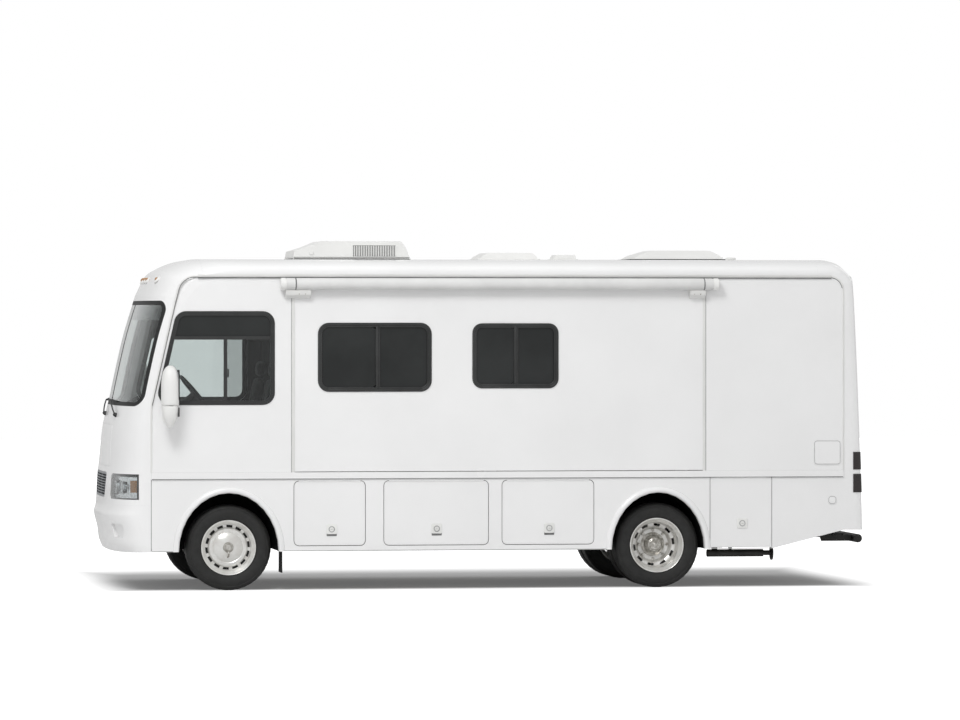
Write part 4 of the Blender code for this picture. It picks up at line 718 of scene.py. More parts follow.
SHIELD_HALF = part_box("windshield")[1].y
SHIELD_FOOT_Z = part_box("windshield")[0].z
SHIELD_TOP_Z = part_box("windshield")[1].z
SHIELD_ROUND = 0.110
SHIELD_REACH = 1.100
SHIELD_SEAL = 38 * MM
SHADE_BAND_Z = 2.560
GRILLE_LOW, GRILLE_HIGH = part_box("grille")
GRILLE_HALF_TOP = GRILLE_HIGH.y
GRILLE_HALF_FOOT = 0.470
GRILLE_ROUND = 0.040
LAMP_LOW, LAMP_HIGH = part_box("headlamp_right")
LAMP_ROUND = 0.050
HOOD_HALF_TOP = 0.520
HOOD_HALF_FOOT = 0.640
HOOD_FOOT_Z = 1.168
HOOD_TOP_Z = 1.562
HOOD_SEAM = 8 * MM
RECESS_INNER = 0.810
RECESS_OUTER = 1.085
RECESS_FOOT_Z = 0.505
RECESS_TOP_Z = 0.631
GRILLE_REACH = 0.400
RECESS_REACH = 0.500


def shield_outline(grow):
    """Outline of the windshield seen from ahead."""
    half = SHIELD_HALF + grow
    return rounded(-half, SHIELD_FOOT_Z - grow, half, SHIELD_TOP_Z + grow, SHIELD_ROUND + grow)


def tapered_outline(foot_half, top_half, foot_z, top_z, grow):
    """Four-sided outline, wider at one end, with round corners."""
    corners = [(-foot_half - grow, foot_z - grow), (foot_half + grow, foot_z - grow),
               (top_half + grow, top_z + grow), (-top_half - grow, top_z + grow)]
    return rounded_corners(corners, [GRILLE_ROUND + grow] * 4)


def grille_outline(grow):
    """Outline of the grille seen from ahead."""
    return tapered_outline(GRILLE_HALF_FOOT, GRILLE_HALF_TOP, GRILLE_LOW.z, GRILLE_HIGH.z, grow)


def hood_outline(grow):
    """Outline of the lid between the grille and the windshield."""
    return tapered_outline(HOOD_HALF_FOOT, HOOD_HALF_TOP, HOOD_FOOT_Z, HOOD_TOP_Z, grow)


def lamp_tool(side, grow):
    """Tool for a headlamp, which wraps round the corner of the nose."""
    low, high = sorted((side * (LAMP_LOW.y - grow), side * OUTSIDE_Y))
    return prism("tool", rounded(low, LAMP_LOW.z - grow, high, LAMP_HIGH.z + grow, LAMP_ROUND),
                 AHEAD_X, LAMP_HIGH.x + grow, "X")


def recess_outline(side, grow):
    """Outline of the recess at a corner of the bumper, seen from ahead."""
    inner = side * (RECESS_INNER - grow)
    outer = side * (RECESS_OUTER + grow)
    lean = side * 30 * MM
    return rounded_corners([(inner, RECESS_TOP_Z + grow), (inner + lean, RECESS_FOOT_Z - grow),
                            (outer - lean, RECESS_FOOT_Z - grow), (outer, RECESS_TOP_Z + grow)],
                           [20 * MM] * 4)


def make_nose(shell, groove):
    """Front cap with its screen, grille and lamp openings and the hood's seam."""
    cap = keep(copy_of(shell, "front_cap_moulding"), through_prism(nose_region()))
    cut(cap, ahead_prism(shield_outline(SEAT_GAP), SHIELD_REACH))
    cut(cap, ahead_prism(grille_outline(SEAT_GAP), GRILLE_REACH))
    for side in (LEFT, RIGHT):
        cut(cap, lamp_tool(side, SEAT_GAP))
    seam = keep(copy_of(groove, "tool"),
                prism_ring(hood_outline(HOOD_SEAM / 2), hood_outline(-HOOD_SEAM / 2)))
    cut(cap, seam)
    place_piece(cap, GELCOAT, "coach", 32)
    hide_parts("front_cap")


def prism_ring(outer, inner):
    """Frame that runs back from in front of the nose."""
    return ring_plate("tool", outer, inner, AHEAD_X, station(SHIELD_REACH), "X")


def make_bumper(shell):
    """Bumper moulding with a shallow pressed recess at each corner."""
    region = [(AHEAD_X, FOOT_Z), (station(NOSE_SEAM), FOOT_Z + 12 * MM),
              (station(NOSE_SEAM), BUMPER_Z), (AHEAD_X, BUMPER_Z)]
    bumper = keep(copy_of(shell, "front_bumper_moulding"), through_prism(region))
    for side in (LEFT, RIGHT):
        cut(bumper, ahead_prism(recess_outline(side, 0.0), RECESS_REACH))
    place_piece(bumper, GELCOAT, "coach", 32)
    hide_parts("front_bumper")
    floor = shell_between(26 * MM, 34 * MM)
    for name, side in SIDES:
        opening = ahead_prism(recess_outline(side, -SEAT_GAP), RECESS_REACH)
        layer_piece("tow_recess_" + name, copy_of(floor, "floor"), opening, GELCOAT, 32)
    bpy.data.objects.remove(floor)


DOME_STEPS = 32
DOME_RINGS = 7


def dome(name, place, way, half_wide, half_tall, rise):
    """Low oval dome that faces along a direction, with a short straight foot."""
    turn = Vector(way).to_track_quat("Z", "Y")
    rows = []
    for level in [-rise * 0.4] + [rise * math.sin(math.pi / 2 * i / DOME_RINGS)
                                  for i in range(DOME_RINGS + 1)]:
        slim = math.sqrt(max(0.0, 1 - (max(level, 0.0) / rise) ** 2))
        slim = max(slim, 0.02)
        row = []
        for step in range(DOME_STEPS):
            angle = 2 * math.pi * step / DOME_STEPS
            flat = Vector((half_tall * slim * math.cos(angle), half_wide * slim * math.sin(angle), level))
            row.append(Vector(place) + turn @ flat)
        rows.append(row)
    return skin(name, rows)


def make_roof_skin(shell):
    """Roof moulding between the two caps."""
    roof = block("tool", station(ROOF_FRONT) + SEAT_GAP, station(ROOF_REAR) - SEAT_GAP, -OUTSIDE_Y,
                 OUTSIDE_Y, RAIL_Z, ROOF_Z + OVERRUN)
    skin_piece = keep(copy_of(shell, "roof_moulding"), roof)
    place_piece(skin_piece, GELCOAT, "coach", 32)
    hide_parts("roof")


TAIL_WINDOW_LOW, TAIL_WINDOW_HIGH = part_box("rear_window")
TAIL_WINDOW_ROUND = 0.080


def tail_window_outline(grow):
    """Outline of the rear window seen from behind."""
    return rounded(TAIL_WINDOW_LOW.y - grow, TAIL_WINDOW_LOW.z - grow, TAIL_WINDOW_HIGH.y + grow,
                   TAIL_WINDOW_HIGH.z + grow, TAIL_WINDOW_ROUND + grow)


def make_tail(shell):
    """Rear cap, and its window in a rubber seal."""
    cap = keep(copy_of(shell, "rear_cap_moulding"), through_prism(tail_region()))
    cut(cap, behind_prism(tail_window_outline(SEAT_GAP)))
    place_piece(cap, GELCOAT, "coach", 32)
    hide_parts("rear_cap")
    pane = layer_piece("rear_window_glass", shell_between(2 * MM, 10 * MM),
                       behind_prism(tail_window_outline(-28 * MM)), PRIVACY_GLASS)
    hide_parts("rear_window")
    tool = ring_plate("tool", tail_window_outline(-SEAT_GAP), tail_window_outline(-29 * MM),
                      station(TAIL_SEAM), BEHIND_X, "X")
    layer_piece("rear_window_seal", shell_between(-6 * MM, 14 * MM), tool, SEAL)


def make_windshield():
    """Screen of laminated glass in a black seal, with the tinted band along its head and a centre post."""
    pane = layer_piece("windshield_glass", shell_between(3 * MM, 9 * MM),
                       ahead_prism(shield_outline(-SHIELD_SEAL), SHIELD_REACH), SCREEN_GLASS)
    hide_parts("windshield")
    layer = shell_between(1 * MM, 12 * MM)
    tool = prism_ring(shield_outline(-SEAT_GAP), shield_outline(-SHIELD_SEAL - SEAT_GAP))
    layer_piece("windshield_seal", copy_of(layer, "seal"), tool, SEAL)
    band = shell_between(10 * MM, 12 * MM)
    keep(band, ahead_prism(shield_outline(-SHIELD_SEAL - 2 * SEAT_GAP), SHIELD_REACH))
    tool = block("tool", AHEAD_X, station(SHIELD_REACH), -BODY_HALF, BODY_HALF, SHADE_BAND_Z, ROOF_Z)
    layer_piece("windshield_shade_band", band, tool, PRIVACY_GLASS)
    post = block("tool", AHEAD_X, station(SHIELD_REACH), -12 * MM, 12 * MM, SHIELD_FOOT_Z + SHIELD_SEAL,
                 SHIELD_TOP_Z - SHIELD_SEAL)
    layer_piece("windshield_post", layer, post, SEAL)


GRILLE_ROWS = 8
GRILLE_RIB = 8 * MM
GRILLE_POST = 5 * MM


def make_grille():
    """Grille frame with slim bars in three bays over a dark mesh."""
    bars = keep(shell_between(2 * MM, 30 * MM), ahead_prism(grille_outline(0.0), GRILLE_REACH))
    pitch = (GRILLE_HIGH.z - GRILLE_LOW.z - 36 * MM) / GRILLE_ROWS
    lean = (GRILLE_HALF_TOP - GRILLE_HALF_FOOT) / (GRILLE_HIGH.z - GRILLE_LOW.z)
    for row in range(GRILLE_ROWS):
        foot = GRILLE_LOW.z + 18 * MM + row * pitch + GRILLE_RIB / 2
        half = GRILLE_HALF_FOOT + lean * (foot - GRILLE_LOW.z) - 22 * MM
        third = half / 3
        for start, end in ((-half, -third - GRILLE_POST), (-third + GRILLE_POST, third - GRILLE_POST),
                           (third + GRILLE_POST, half)):
            gap = rounded(start, foot, end, foot + pitch - GRILLE_RIB, 5 * MM, 3)
            cut(bars, ahead_prism(gap, GRILLE_REACH))
    bars.name = "grille_bars"
    place_piece(bars, GREY_ABS)
    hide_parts("grille")
    layer_piece("grille_mesh", shell_between(34 * MM, 38 * MM),
                ahead_prism(grille_outline(-SEAT_GAP), GRILLE_REACH), BLACK_ABS_AND_PAINTED_SHADE)


def make_headlamp(name, side):
    """Wrap-round lamp: fluted reflector, two bowls, an amber end and a clear lens in a black surround."""
    lens = layer_piece("headlamp_lens_" + name, shell_between(2 * MM, 6 * MM), lamp_tool(side, 0.0), LENS)
    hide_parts("headlamp_" + name)
    layer_piece("headlamp_reflector_" + name, shell_between(34 * MM, 40 * MM), lamp_tool(side, -2 * MM),
                REFLECTOR)
    surround = keep(shell_between(7 * MM, 42 * MM), lamp_tool(side, -1 * MM))
    near, far = sorted((side * (LAMP_LOW.y + 10 * MM), side * OUTSIDE_Y))
    core = prism("tool",
                 rounded(near, LAMP_LOW.z + 10 * MM, far, LAMP_HIGH.z - 26 * MM, LAMP_ROUND - 12 * MM),
                 AHEAD_X, LAMP_HIGH.x - 12 * MM, "X")
    cut(surround, core)
    surround.name = "headlamp_surround_" + name
    place_piece(surround, BLACK_ABS_AND_PAINTED_SHADE)
    amber = keep(shell_between(20 * MM, 30 * MM), lamp_tool(side, -12 * MM))
    corner = block("tool", LAMP_HIGH.x - 72 * MM, LAMP_HIGH.x - 14 * MM, side * 0.9, side * OUTSIDE_Y,
                   LAMP_LOW.z + 66 * MM, LAMP_HIGH.z - 62 * MM)
    layer_piece("headlamp_amber_" + name, amber, corner, AMBER)
    for spot, size in ((0.835, 72 * MM), (0.990, 58 * MM)):
        y = side * spot
        z = (LAMP_LOW.z + LAMP_HIGH.z) / 2 - 8 * MM
        ring = bowl_ring("headlamp_bowl_%s_%d" % (name, size * 1000), (nose_x(y, z, -30 * MM), y, z), size)
        place_piece(ring, CHROME)


def bowl_ring(name, place, radius):
    """Round reflector bowl with a bulb shield in it, facing ahead."""
    profile = [(radius, 0.0), (radius * 0.96, -4 * MM), (radius * 0.7, 14 * MM), (radius * 0.4, 24 * MM),
               (0.012, 28 * MM), (0.012, 6 * MM), (0.009, 2 * MM), (0, 2 * MM)]
    return moved(revolved(name, profile, (0, 0, 0), 48), place, QUARTER_TURN)


CLEARANCE_Z = 2.945
CLEARANCE_SPOTS = (-0.74, -0.22, 0.0, 0.22, 0.74)


def make_clearance_lamps():
    """Five amber lamps over the screen and five red ones over the rear window, each on a white foot."""
    for index, y in enumerate(CLEARANCE_SPOTS):
        for place, way, finish, label in (
                ((nose_x(y, CLEARANCE_Z), y, CLEARANCE_Z), (-1, 0, 0.9), AMBER, "front"),
                ((tail_x(y, CLEARANCE_Z), y, CLEARANCE_Z), (1, 0, 0.35), RED, "rear")):
            foot = dome("clearance_foot_%s_%d" % (label, index), place, way, 44 * MM, 46 * MM, 14 * MM)
            place_piece(foot, COVER_ABS)
            lens = dome("clearance_lamp_%s_%d" % (label, index), place, way, 24 * MM, 28 * MM, 26 * MM)
            place_piece(lens, finish)


def over_nose(steps, y, z, across, up, off):
    """Line of points over the nose, from one place and as far across and up as given."""
    spots = [(y + across * step / steps, z + up * step / steps) for step in range(steps + 1)]
    return [(nose_x(a, b, off), a, b) for a, b in spots]


def make_wipers():
    """Two wipers parked along the foot of the screen: boss, arm and blade."""
    for index, pivot in enumerate((-0.62, 0.30)):
        boss_z = SHIELD_FOOT_Z - 90 * MM
        place = (nose_x(pivot, boss_z), pivot, boss_z)
        boss = dome("wiper_boss_%d" % index, place, (-1, 0, 0.3), 22 * MM, 22 * MM, 34 * MM)
        place_piece(boss, BLACK_ABS_AND_PAINTED_SHADE)
        arm = over_nose(8, pivot, boss_z + 20 * MM, 0.42, 110 * MM, 26 * MM)
        place_piece(tube("wiper_arm_%d" % index, arm, 7 * MM, 8), BLACK_ABS_AND_PAINTED_SHADE)
        blade = over_nose(12, pivot + 0.08, SHIELD_FOOT_Z + 40 * MM, 0.62, 10 * MM, 10 * MM)
        place_piece(tube("wiper_blade_%d" % index, blade, 8 * MM, 8), SEAL)


def make_shell():
    """The moulded shell with its screen, grille and lamps."""
    shell = shell_between(0.0, WALL, ROOF_THICK)
    groove = shell_between(-10 * MM, 5 * MM)
    make_nose(shell, groove)
    make_bumper(shell)
    make_roof_skin(shell)
    make_tail(shell)
    for spare in (shell, groove):
        bpy.data.objects.remove(spare)
    make_windshield()
    make_grille()
    for name, side in SIDES:
        make_headlamp(name, side)
    make_clearance_lamps()
    make_wipers()


# Windows of the cab and the house

CAB_LOW, CAB_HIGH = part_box("cab_window_left")
CAB_FRONT = station(0.451)
CAB_LEAN = 0.204
CAB_ROUND = 0.115
CAB_BAR_Z = 2.392
CAB_POST = 1.120
FRAME_WIDTH = 42 * MM
FRAME_PROUD = 8 * MM


def cab_outline(inset, top=None, foot=None, front=None, rear=None, radii=None):
    """Outline whose front edge leans back, drawn in by an inset or held to given edges."""
    top = CAB_HIGH.z - inset if top is None else top
    foot = CAB_LOW.z + inset if foot is None else foot
    rear = CAB_HIGH.x - inset if rear is None else rear
    slope = CAB_LEAN / (CAB_HIGH.z - CAB_LOW.z)
    low_front = CAB_FRONT + inset + slope * (foot - CAB_LOW.z) if front is None else front
    top_front = CAB_FRONT + inset + slope * (top - CAB_LOW.z) if front is None else front
    radii = [max(CAB_ROUND - inset, 12 * MM)] * 4 if radii is None else radii
    return rounded_corners([(low_front, foot), (rear, foot), (rear, top), (top_front, top)], radii)


def side_prism(outline, side):
    """Tool that runs out through one side wall."""
    return prism("tool", outline, *sorted((side * BODY_HALF * 0.8, side * OUTSIDE_Y)), "Y")


PANE_THICK = 5 * MM


def pane(name, outline, side, depth, material, body):
    """Pane at a depth under a side's face."""
    face = side * (BODY_HALF - depth)
    return place_piece(prism(name, outline, *sorted((face, face - side * PANE_THICK)), "Y"), material, body)


def window_frame(name, side, rings, bars, body):
    """Black frame of stepped rings with its cross bars."""
    items = []
    for outer, inner, proud, deep in rings:
        low, high = sorted((side * (BODY_HALF + proud), side * (BODY_HALF - deep)))
        items.append(ring_plate("ring", outer, inner, low, high, "Y"))
    bar_face = side * (BODY_HALF + FRAME_PROUD - 4 * MM)
    for x0, x1, z0, z1 in bars:
        items.append(block("bar", x0, x1, bar_face, off_wall(side, -30), z0, z1))
    for item in items:
        apply_modifiers(soften(item, 2 * MM, 2, 50))
    frame_piece = joined(name, items)
    return place_piece(frame_piece, WINDOW_FRAME, body, 40)


def make_cab_windows():
    """Cab side windows that follow the moulded side: a dark pane over a bar, clear panes below it."""
    small = 12 * MM
    bar = 16 * MM
    inset = FRAME_WIDTH - 4 * MM
    corner = CAB_ROUND - inset
    layers = {proud: shell_between(-proud * MM, 36 * MM) for proud in (3, 5, 8)}
    glass = {depth: shell_between(depth * MM, (depth + 5) * MM) for depth in (10, 20)}
    slope = CAB_LEAN / (CAB_HIGH.z - CAB_LOW.z)
    bar_front = CAB_FRONT + slope * (CAB_BAR_Z - CAB_LOW.z) + 20 * MM
    for name, side in SIDES:
        items = []
        reach = sorted((side * BODY_HALF * 0.8, side * OUTSIDE_Y))
        for proud, near, far in ((5, 0, 9), (8, 8, 25), (3, 24, 42)):
            tool = ring_plate("tool", cab_outline(near * MM), cab_outline(far * MM), *reach, "Y")
            items.append(keep(copy_of(layers[proud], "ring"), tool))
        items.append(keep(copy_of(layers[5], "bar"), side_prism(
            [(bar_front, CAB_BAR_Z - bar), (CAB_HIGH.x - 20 * MM, CAB_BAR_Z - bar),
             (CAB_HIGH.x - 20 * MM, CAB_BAR_Z + bar), (bar_front, CAB_BAR_Z + bar)], side)))
        upper = cab_outline(inset, foot=CAB_BAR_Z + 4 * MM, radii=(small, small, corner, corner))
        panes = [("cab_upper_pane_", upper, 10, PRIVACY_GLASS)]
        if side == LEFT:
            post = station(CAB_POST)
            items.append(block("post", post - bar, post + bar, -BODY_HALF - 4 * MM, -BODY_HALF + 30 * MM,
                               CAB_LOW.z + 20 * MM, CAB_BAR_Z))
            panes.append(("cab_front_pane_", cab_outline(inset, top=CAB_BAR_Z - 4 * MM, rear=post,
                                                         radii=(corner, small, small, small)), 10,
                          SCREEN_GLASS))
            panes.append(("cab_sliding_pane_",
                          cab_outline(inset, top=CAB_BAR_Z - 4 * MM, front=post - 10 * MM,
                                      radii=(small, corner, small, small)), 20, TINTED_PANE))
            latch = block("cab_pane_latch", post + 20 * MM, post + 34 * MM, -BODY_HALF + 8 * MM,
                          -BODY_HALF + 22 * MM, 2.02, 2.10)
            place_piece(soften(latch, 3 * MM), BLACK_ABS_AND_PAINTED_SHADE)
        else:
            panes.append(("cab_front_pane_", cab_outline(inset, top=CAB_BAR_Z - 4 * MM,
                                                         radii=(corner, corner, small, small)), 10,
                          SCREEN_GLASS))
        unit = place_piece(joined("cab_window_frame_" + name, items), WINDOW_FRAME, "coach", 40)
        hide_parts("cab_window_" + name)
        for label, outline, depth, material in panes:
            place_piece(keep(copy_of(glass[depth], label + name), side_prism(outline, side)), material)
    for spare in list(layers.values()) + list(glass.values()):
        bpy.data.objects.remove(spare)


def make_house_window(node, side, radius, post_share, body):
    """House window: black stepped frame, a centre post, a fixed pane and a sliding one behind it."""
    low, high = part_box(node)

    def outline(inset):
        return rounded(low.x + inset, low.z + inset, high.x - inset, high.z - inset,
                       max(radius - inset, 14 * MM))

    post = low.x + post_share * (high.x - low.x)
    rings = [(outline(0.0), outline(25 * MM), FRAME_PROUD, 30 * MM),
             (outline(23 * MM), outline(FRAME_WIDTH), FRAME_PROUD - 5 * MM, 42 * MM)]
    bars = [(post - 13 * MM, post + 13 * MM, low.z + 20 * MM, high.z - 20 * MM)]
    unit = window_frame(node + "_frame", side, rings, bars, body)
    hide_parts(node)
    inset = FRAME_WIDTH - 5 * MM
    corner = radius - inset
    left = rounded(low.x + inset, low.z + inset, post, high.z - inset, corner)
    right = rounded(post - 6 * MM, low.z + inset, high.x - inset, high.z - inset, corner)
    pane(node + "_fixed_pane", left, side, 10 * MM, PRIVACY_GLASS, body)
    pane(node + "_sliding_pane", right, side, 20 * MM, PRIVACY_GLASS, body)
    stile = block(node + "_stile", post + 13 * MM, post + 30 * MM, off_wall(side, -8),
                  off_wall(side, -20), low.z + inset, high.z - inset)
    place_piece(soften(stile, 2 * MM), WINDOW_FRAME, body)
    weep = [block("weep", post + way * 0.22 - 18 * MM, post + way * 0.22 + 18 * MM, off_wall(side, 7),
                  off_wall(side, 11), low.z + 7 * MM, low.z + 15 * MM) for way in (-1, 1)]
    place_piece(joined(node + "_weep_covers", weep), BLACK_ABS_AND_PAINTED_SHADE, body)


def make_windows():
    """The cab's windows, and two house windows on each side."""
    make_cab_windows()
    make_house_window("slide_window_front", LEFT, 0.105, 0.52, "slide_out")
    make_house_window("slide_window_rear", LEFT, 0.092, 0.50, "slide_out")
    make_house_window("right_window_front", RIGHT, 0.105, 0.52, "coach")
    make_house_window("right_window_rear", RIGHT, 0.092, 0.50, "coach")


# Trim of the walls

LATCH_WIDTH = 100 * MM
LATCH_HEIGHT = 94 * MM
# columns: door, place behind the nose, height
LATCH_SPOTS = (
    ("bin_door_left_front", 2.131, 0.565), ("bin_door_left_middle", 3.137, 0.565),
    ("bin_door_left_rear", 4.221, 0.565), ("service_door_left", 6.096, 0.601),
    ("bin_door_right_front", 3.217, 0.565), ("bin_door_right_rear", 4.210, 0.565),
)


def make_latch(name, side, x, z, body, has_painted_shadow=True):
    """Moulded latch: white plate, a turning ring with a grip across it, and a dark bar below it that is a
    painted shadow of the plate.
    """
    centre = (x, side * (BODY_HALF + SEAT_GAP), z)
    half = LATCH_WIDTH / 2
    tall = LATCH_HEIGHT / 2
    rise = side * 9 * MM
    plate_line = rounded(x - half, z - tall, x + half, z + tall, 14 * MM)
    plate = prism(name + "_plate", plate_line, *reach_out(side, 0, 9), "Y")
    place_piece(soften(plate, 4 * MM, 3), COVER_ABS, body, 45)
    ring_line = ((30, 0), (30, 3), (26, 5), (22, 3), (21, -1), (30, -1))
    ring = lathed(name + "_ring", ring_line, centre, 40, side, rise, closed=True)
    place_piece(ring, GREY_RUBBER_AND_PAINTED_SHADE, body, 30)
    grip_line = rounded(x - 17 * MM, z - 5 * MM, x + 17 * MM, z + 5 * MM, 4 * MM)
    grip = prism(name + "_grip", grip_line, *reach_out(side, 8, 13), "Y")
    place_piece(soften(grip, 1.5 * MM), EXTRUSION, body, 45)
    key = lathed(name + "_key", ((0, 4), (4, 4), (4, 5), (0, 5)), centre, 20, side, rise)
    place_piece(key, CHROME, body, 30)
    # Dark bar under the plate: painted shadow.
    if has_painted_shadow:
        shadow_bar_line = rounded(x - half + 2 * MM, z - tall - 18 * MM, x + half - 2 * MM, z - tall + 6 * MM,
                            5 * MM)
        place_piece(prism(name + "_slot", shadow_bar_line, *reach_out(side, 0, 3), "Y"), SEALANT_AND_PAINTED_SHADOW, body)


def make_latches():
    """A latch on each bay door, and one without the painted shadow bar on the service door."""
    for node, x, z in LATCH_SPOTS:
        side = LEFT if "left" in node else RIGHT
        make_latch(node + "_latch", side, station(x), z + 14 * MM, node, not node.startswith("service"))


def make_door_frames():
    """Pressed rim on each bay door; the service door's stops under the belt moulding."""
    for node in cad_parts:
        if not node.startswith(("bin_door", "service_door")):
            continue
        low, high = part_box(node)
        side = LEFT if "left" in node else RIGHT
        top = high.z - (24 if node.startswith("service") else 6) * MM
        rim = round_frame(node + "_rim", (low.x, low.z, high.x, top), (8, 14), (38, 32),
                          *reach_out(side, 0, 1.3), "Y")
        place_piece(rim, GELCOAT, node, 30)


def make_hatch(name, side, x0, x1, z0, z1, lock=True):
    """Small outside hatch: frame, lid with a shadow gap, and a round lock."""
    box = (x0, z0, x1, z1)
    rim = round_frame(name + "_frame", box, (0, 6), (34, 28), *reach_out(side, 0, 5), "Y")
    place_piece(soften(rim, 1.5 * MM), GELCOAT, "coach", 45)
    gap = prism(name + "_gap", drawn_in(box, 5, 28), *reach_out(side, 0, 1), "Y")
    place_piece(gap, GREY_RUBBER_AND_PAINTED_SHADE)
    lid = prism(name + "_lid", drawn_in(box, 10, 24), *reach_out(side, 1.5, 6), "Y")
    place_piece(soften(lid, 2 * MM), GELCOAT, "coach", 45)
    if lock:
        barrel = lathed(name + "_lock", ((0, 6), (11, 6), (11, 9), (4, 9), (4, 7), (0, 7)),
                        ((x0 + x1) / 2, side * (BODY_HALF + SEAT_GAP), z0 + 34 * MM), 24, side)
        place_piece(barrel, CHROME, "coach", 30)


def side_seam(inset):
    """Line of the moulded caps' and roof's edge on the wall, drawn in by an inset."""
    return rounded_corners(
        [(station(NOSE_SEAM) + inset, BELT_Z), (station(NOSE_SEAM) + inset, SEAM_BEND_Z),
         (station(SEAM_UPPER) + inset, SEAM_UPPER_Z), (station(SEAM_TOP) + inset, RAIL_Z - 4 * MM - inset),
         (station(TAIL_SEAM) - inset, RAIL_Z - 4 * MM - inset), (station(TAIL_SEAM) - inset, BELT_Z)],
        (0, 60 * MM, 40 * MM, SEAM_TOP_ROUND - inset, TAIL_SEAM_ROUND - inset, 0), 10)


def make_seams():
    """Bead over the seam between caps, walls and roof, with the sealant's dark line inside it, and a gutter
    with a painted shadow strip under it.
    """
    for name, side in SIDES:
        y = off_wall(side, -1)
        bead = tube("seam_bead_" + name, [(x, y, z) for x, z in side_seam(0.0)], 8 * MM, 10)
        place_piece(bead, EXTRUSION)
        line = [(x, side * BODY_HALF, z) for x, z in side_seam(9 * MM)]
        place_piece(tube("seam_sealant_" + name, line[2:-2], 4 * MM, 8), SEALANT_AND_PAINTED_SHADOW)
        start, end = station(SEAM_TOP) + 0.16, station(TAIL_SEAM) - 0.12
        ledge = block("ledge", start, end, off_wall(side, -1), off_wall(side, 13),
                      RAIL_Z - 12 * MM, RAIL_Z - 4 * MM)
        lip = block("lip", start, end, off_wall(side, 9), off_wall(side, 13),
                    RAIL_Z - 6 * MM, RAIL_Z + 12 * MM)
        place_piece(joined("gutter_" + name, [ledge, lip]), EXTRUSION)
        # Dark strip under the gutter's ledge: painted shadow.
        under = block("gutter_painted_shadow_" + name, start, end, off_wall(side, -1), off_wall(side, 11),
                      RAIL_Z - 24 * MM, RAIL_Z - 12 * MM - SEAT_GAP)
        place_piece(under, SEALANT_AND_PAINTED_SHADOW)
        foot = [(station(NOSE_SEAM) - 1 * MM, BELT_Z - 70 * MM),
                (station(NOSE_SEAM) - 1 * MM, SKIRT_LOW.z + 10 * MM)]
        place_piece(tube("lower_seam_" + name, [(x, y, z) for x, z in foot], 3 * MM, 8), SEALANT_AND_PAINTED_SHADOW)


ARCHES = (("front", 0.678, 1.627, 0.925), ("rear", 4.828, 5.732, 0.913))
FLARE_WIDTH = 58 * MM
FLARE_PROUD = 24 * MM


def arch_line(front, back, top, grow, steps=48):
    """Half ellipse of a wheel arch, grown outwards."""
    middle_x = station((front + back) / 2)
    half = (back - front) / 2 + grow
    rise = top - SKIRT_LOW.z + grow
    return [(middle_x + half * math.cos(math.pi * step / steps),
             SKIRT_LOW.z + rise * math.sin(math.pi * step / steps))
            for step in range(steps + 1)]


FLARE_RINGS = 12
FLARE_STEPS = 64


def arch_flare(name, side, front, back, top):
    """Rounded moulding round a wheel arch."""
    lines = []
    for ring in range(FLARE_RINGS + 1):
        share = ring / FLARE_RINGS
        proud = FLARE_PROUD * math.sin(math.pi * share ** 0.8) ** 0.6 if 0 < share < 1 else 0.0
        lines.append((arch_line(front, back, top, share * FLARE_WIDTH - 1 * MM, FLARE_STEPS), proud))
    rows = []
    back_y = off_wall(side, -20)
    for index in range(FLARE_STEPS + 1):
        row = [(line[index][0], side * (BODY_HALF + proud), line[index][1]) for line, proud in lines]
        rows.append(row + [(row[-1][0], back_y, row[-1][2]), (row[0][0], back_y, row[0][2])])
    place_piece(skin(name, rows), GELCOAT, "coach", 40)


def make_skirts():
    """Lower side panels whose arch flares are rounded mouldings, with a grey strip along their foot that is
    painted shade of the panel's lower edge.
    """
    for name, side in SIDES:
        node = "skirt_" + name
        panel = copy_of(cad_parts[node], node + "_panel")
        near, far = sorted((off_wall(side, 0.4), off_wall(side, 60)))
        ends = [NOSE_SEAM_X + 4 * MM]
        for label, front, back, top in ARCHES:
            line = arch_line(front, back, top, FLARE_WIDTH + 3 * MM)
            tool = [(line[0][0], SKIRT_LOW.z - 40 * MM)] + line + [(line[-1][0], SKIRT_LOW.z - 40 * MM)]
            combine(panel, prism("tool", tool, near, far, "Y"), "DIFFERENCE", "EXACT")
            arch_flare("arch_flare_%s_%s" % (label, name), side, front, back, top)
            ends += [station(front) - FLARE_WIDTH, station(back) + FLARE_WIDTH]
        ends.append(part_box("service_door_left")[1].x)
        place_piece(panel, GELCOAT, "coach", 0.5)
        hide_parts(node)
        # Grey strip along the panel's foot: painted shade of its lower return.
        strips = [block("strip", start, stop, side * (BODY_HALF + SEAT_GAP), off_wall(side, 2),
                        SKIRT_LOW.z + 1 * MM, SKIRT_LOW.z + 8 * MM)
                  for start, stop in zip(ends[::2], ends[1::2])]
        place_piece(joined("skirt_foot_painted_shade_" + name, strips), GREY_RUBBER_AND_PAINTED_SHADE)


def make_belt():
    """Dark grey strip along the foot of the belt moulding: a painted shadow of the moulding."""
    for name, side in SIDES:
        start, end = NOSE_SEAM_X + 4 * MM, TAIL_SEAM_X - 4 * MM
        # Painted shadow under the belt moulding.
        strip = block("belt_insert_" + name, start, end, off_wall(side, 2), off_wall(side, 11),
                      BELT_Z - 66 * MM, BELT_Z - 60 * MM - SEAT_GAP)
        place_piece(strip, SEALANT_AND_PAINTED_SHADOW)


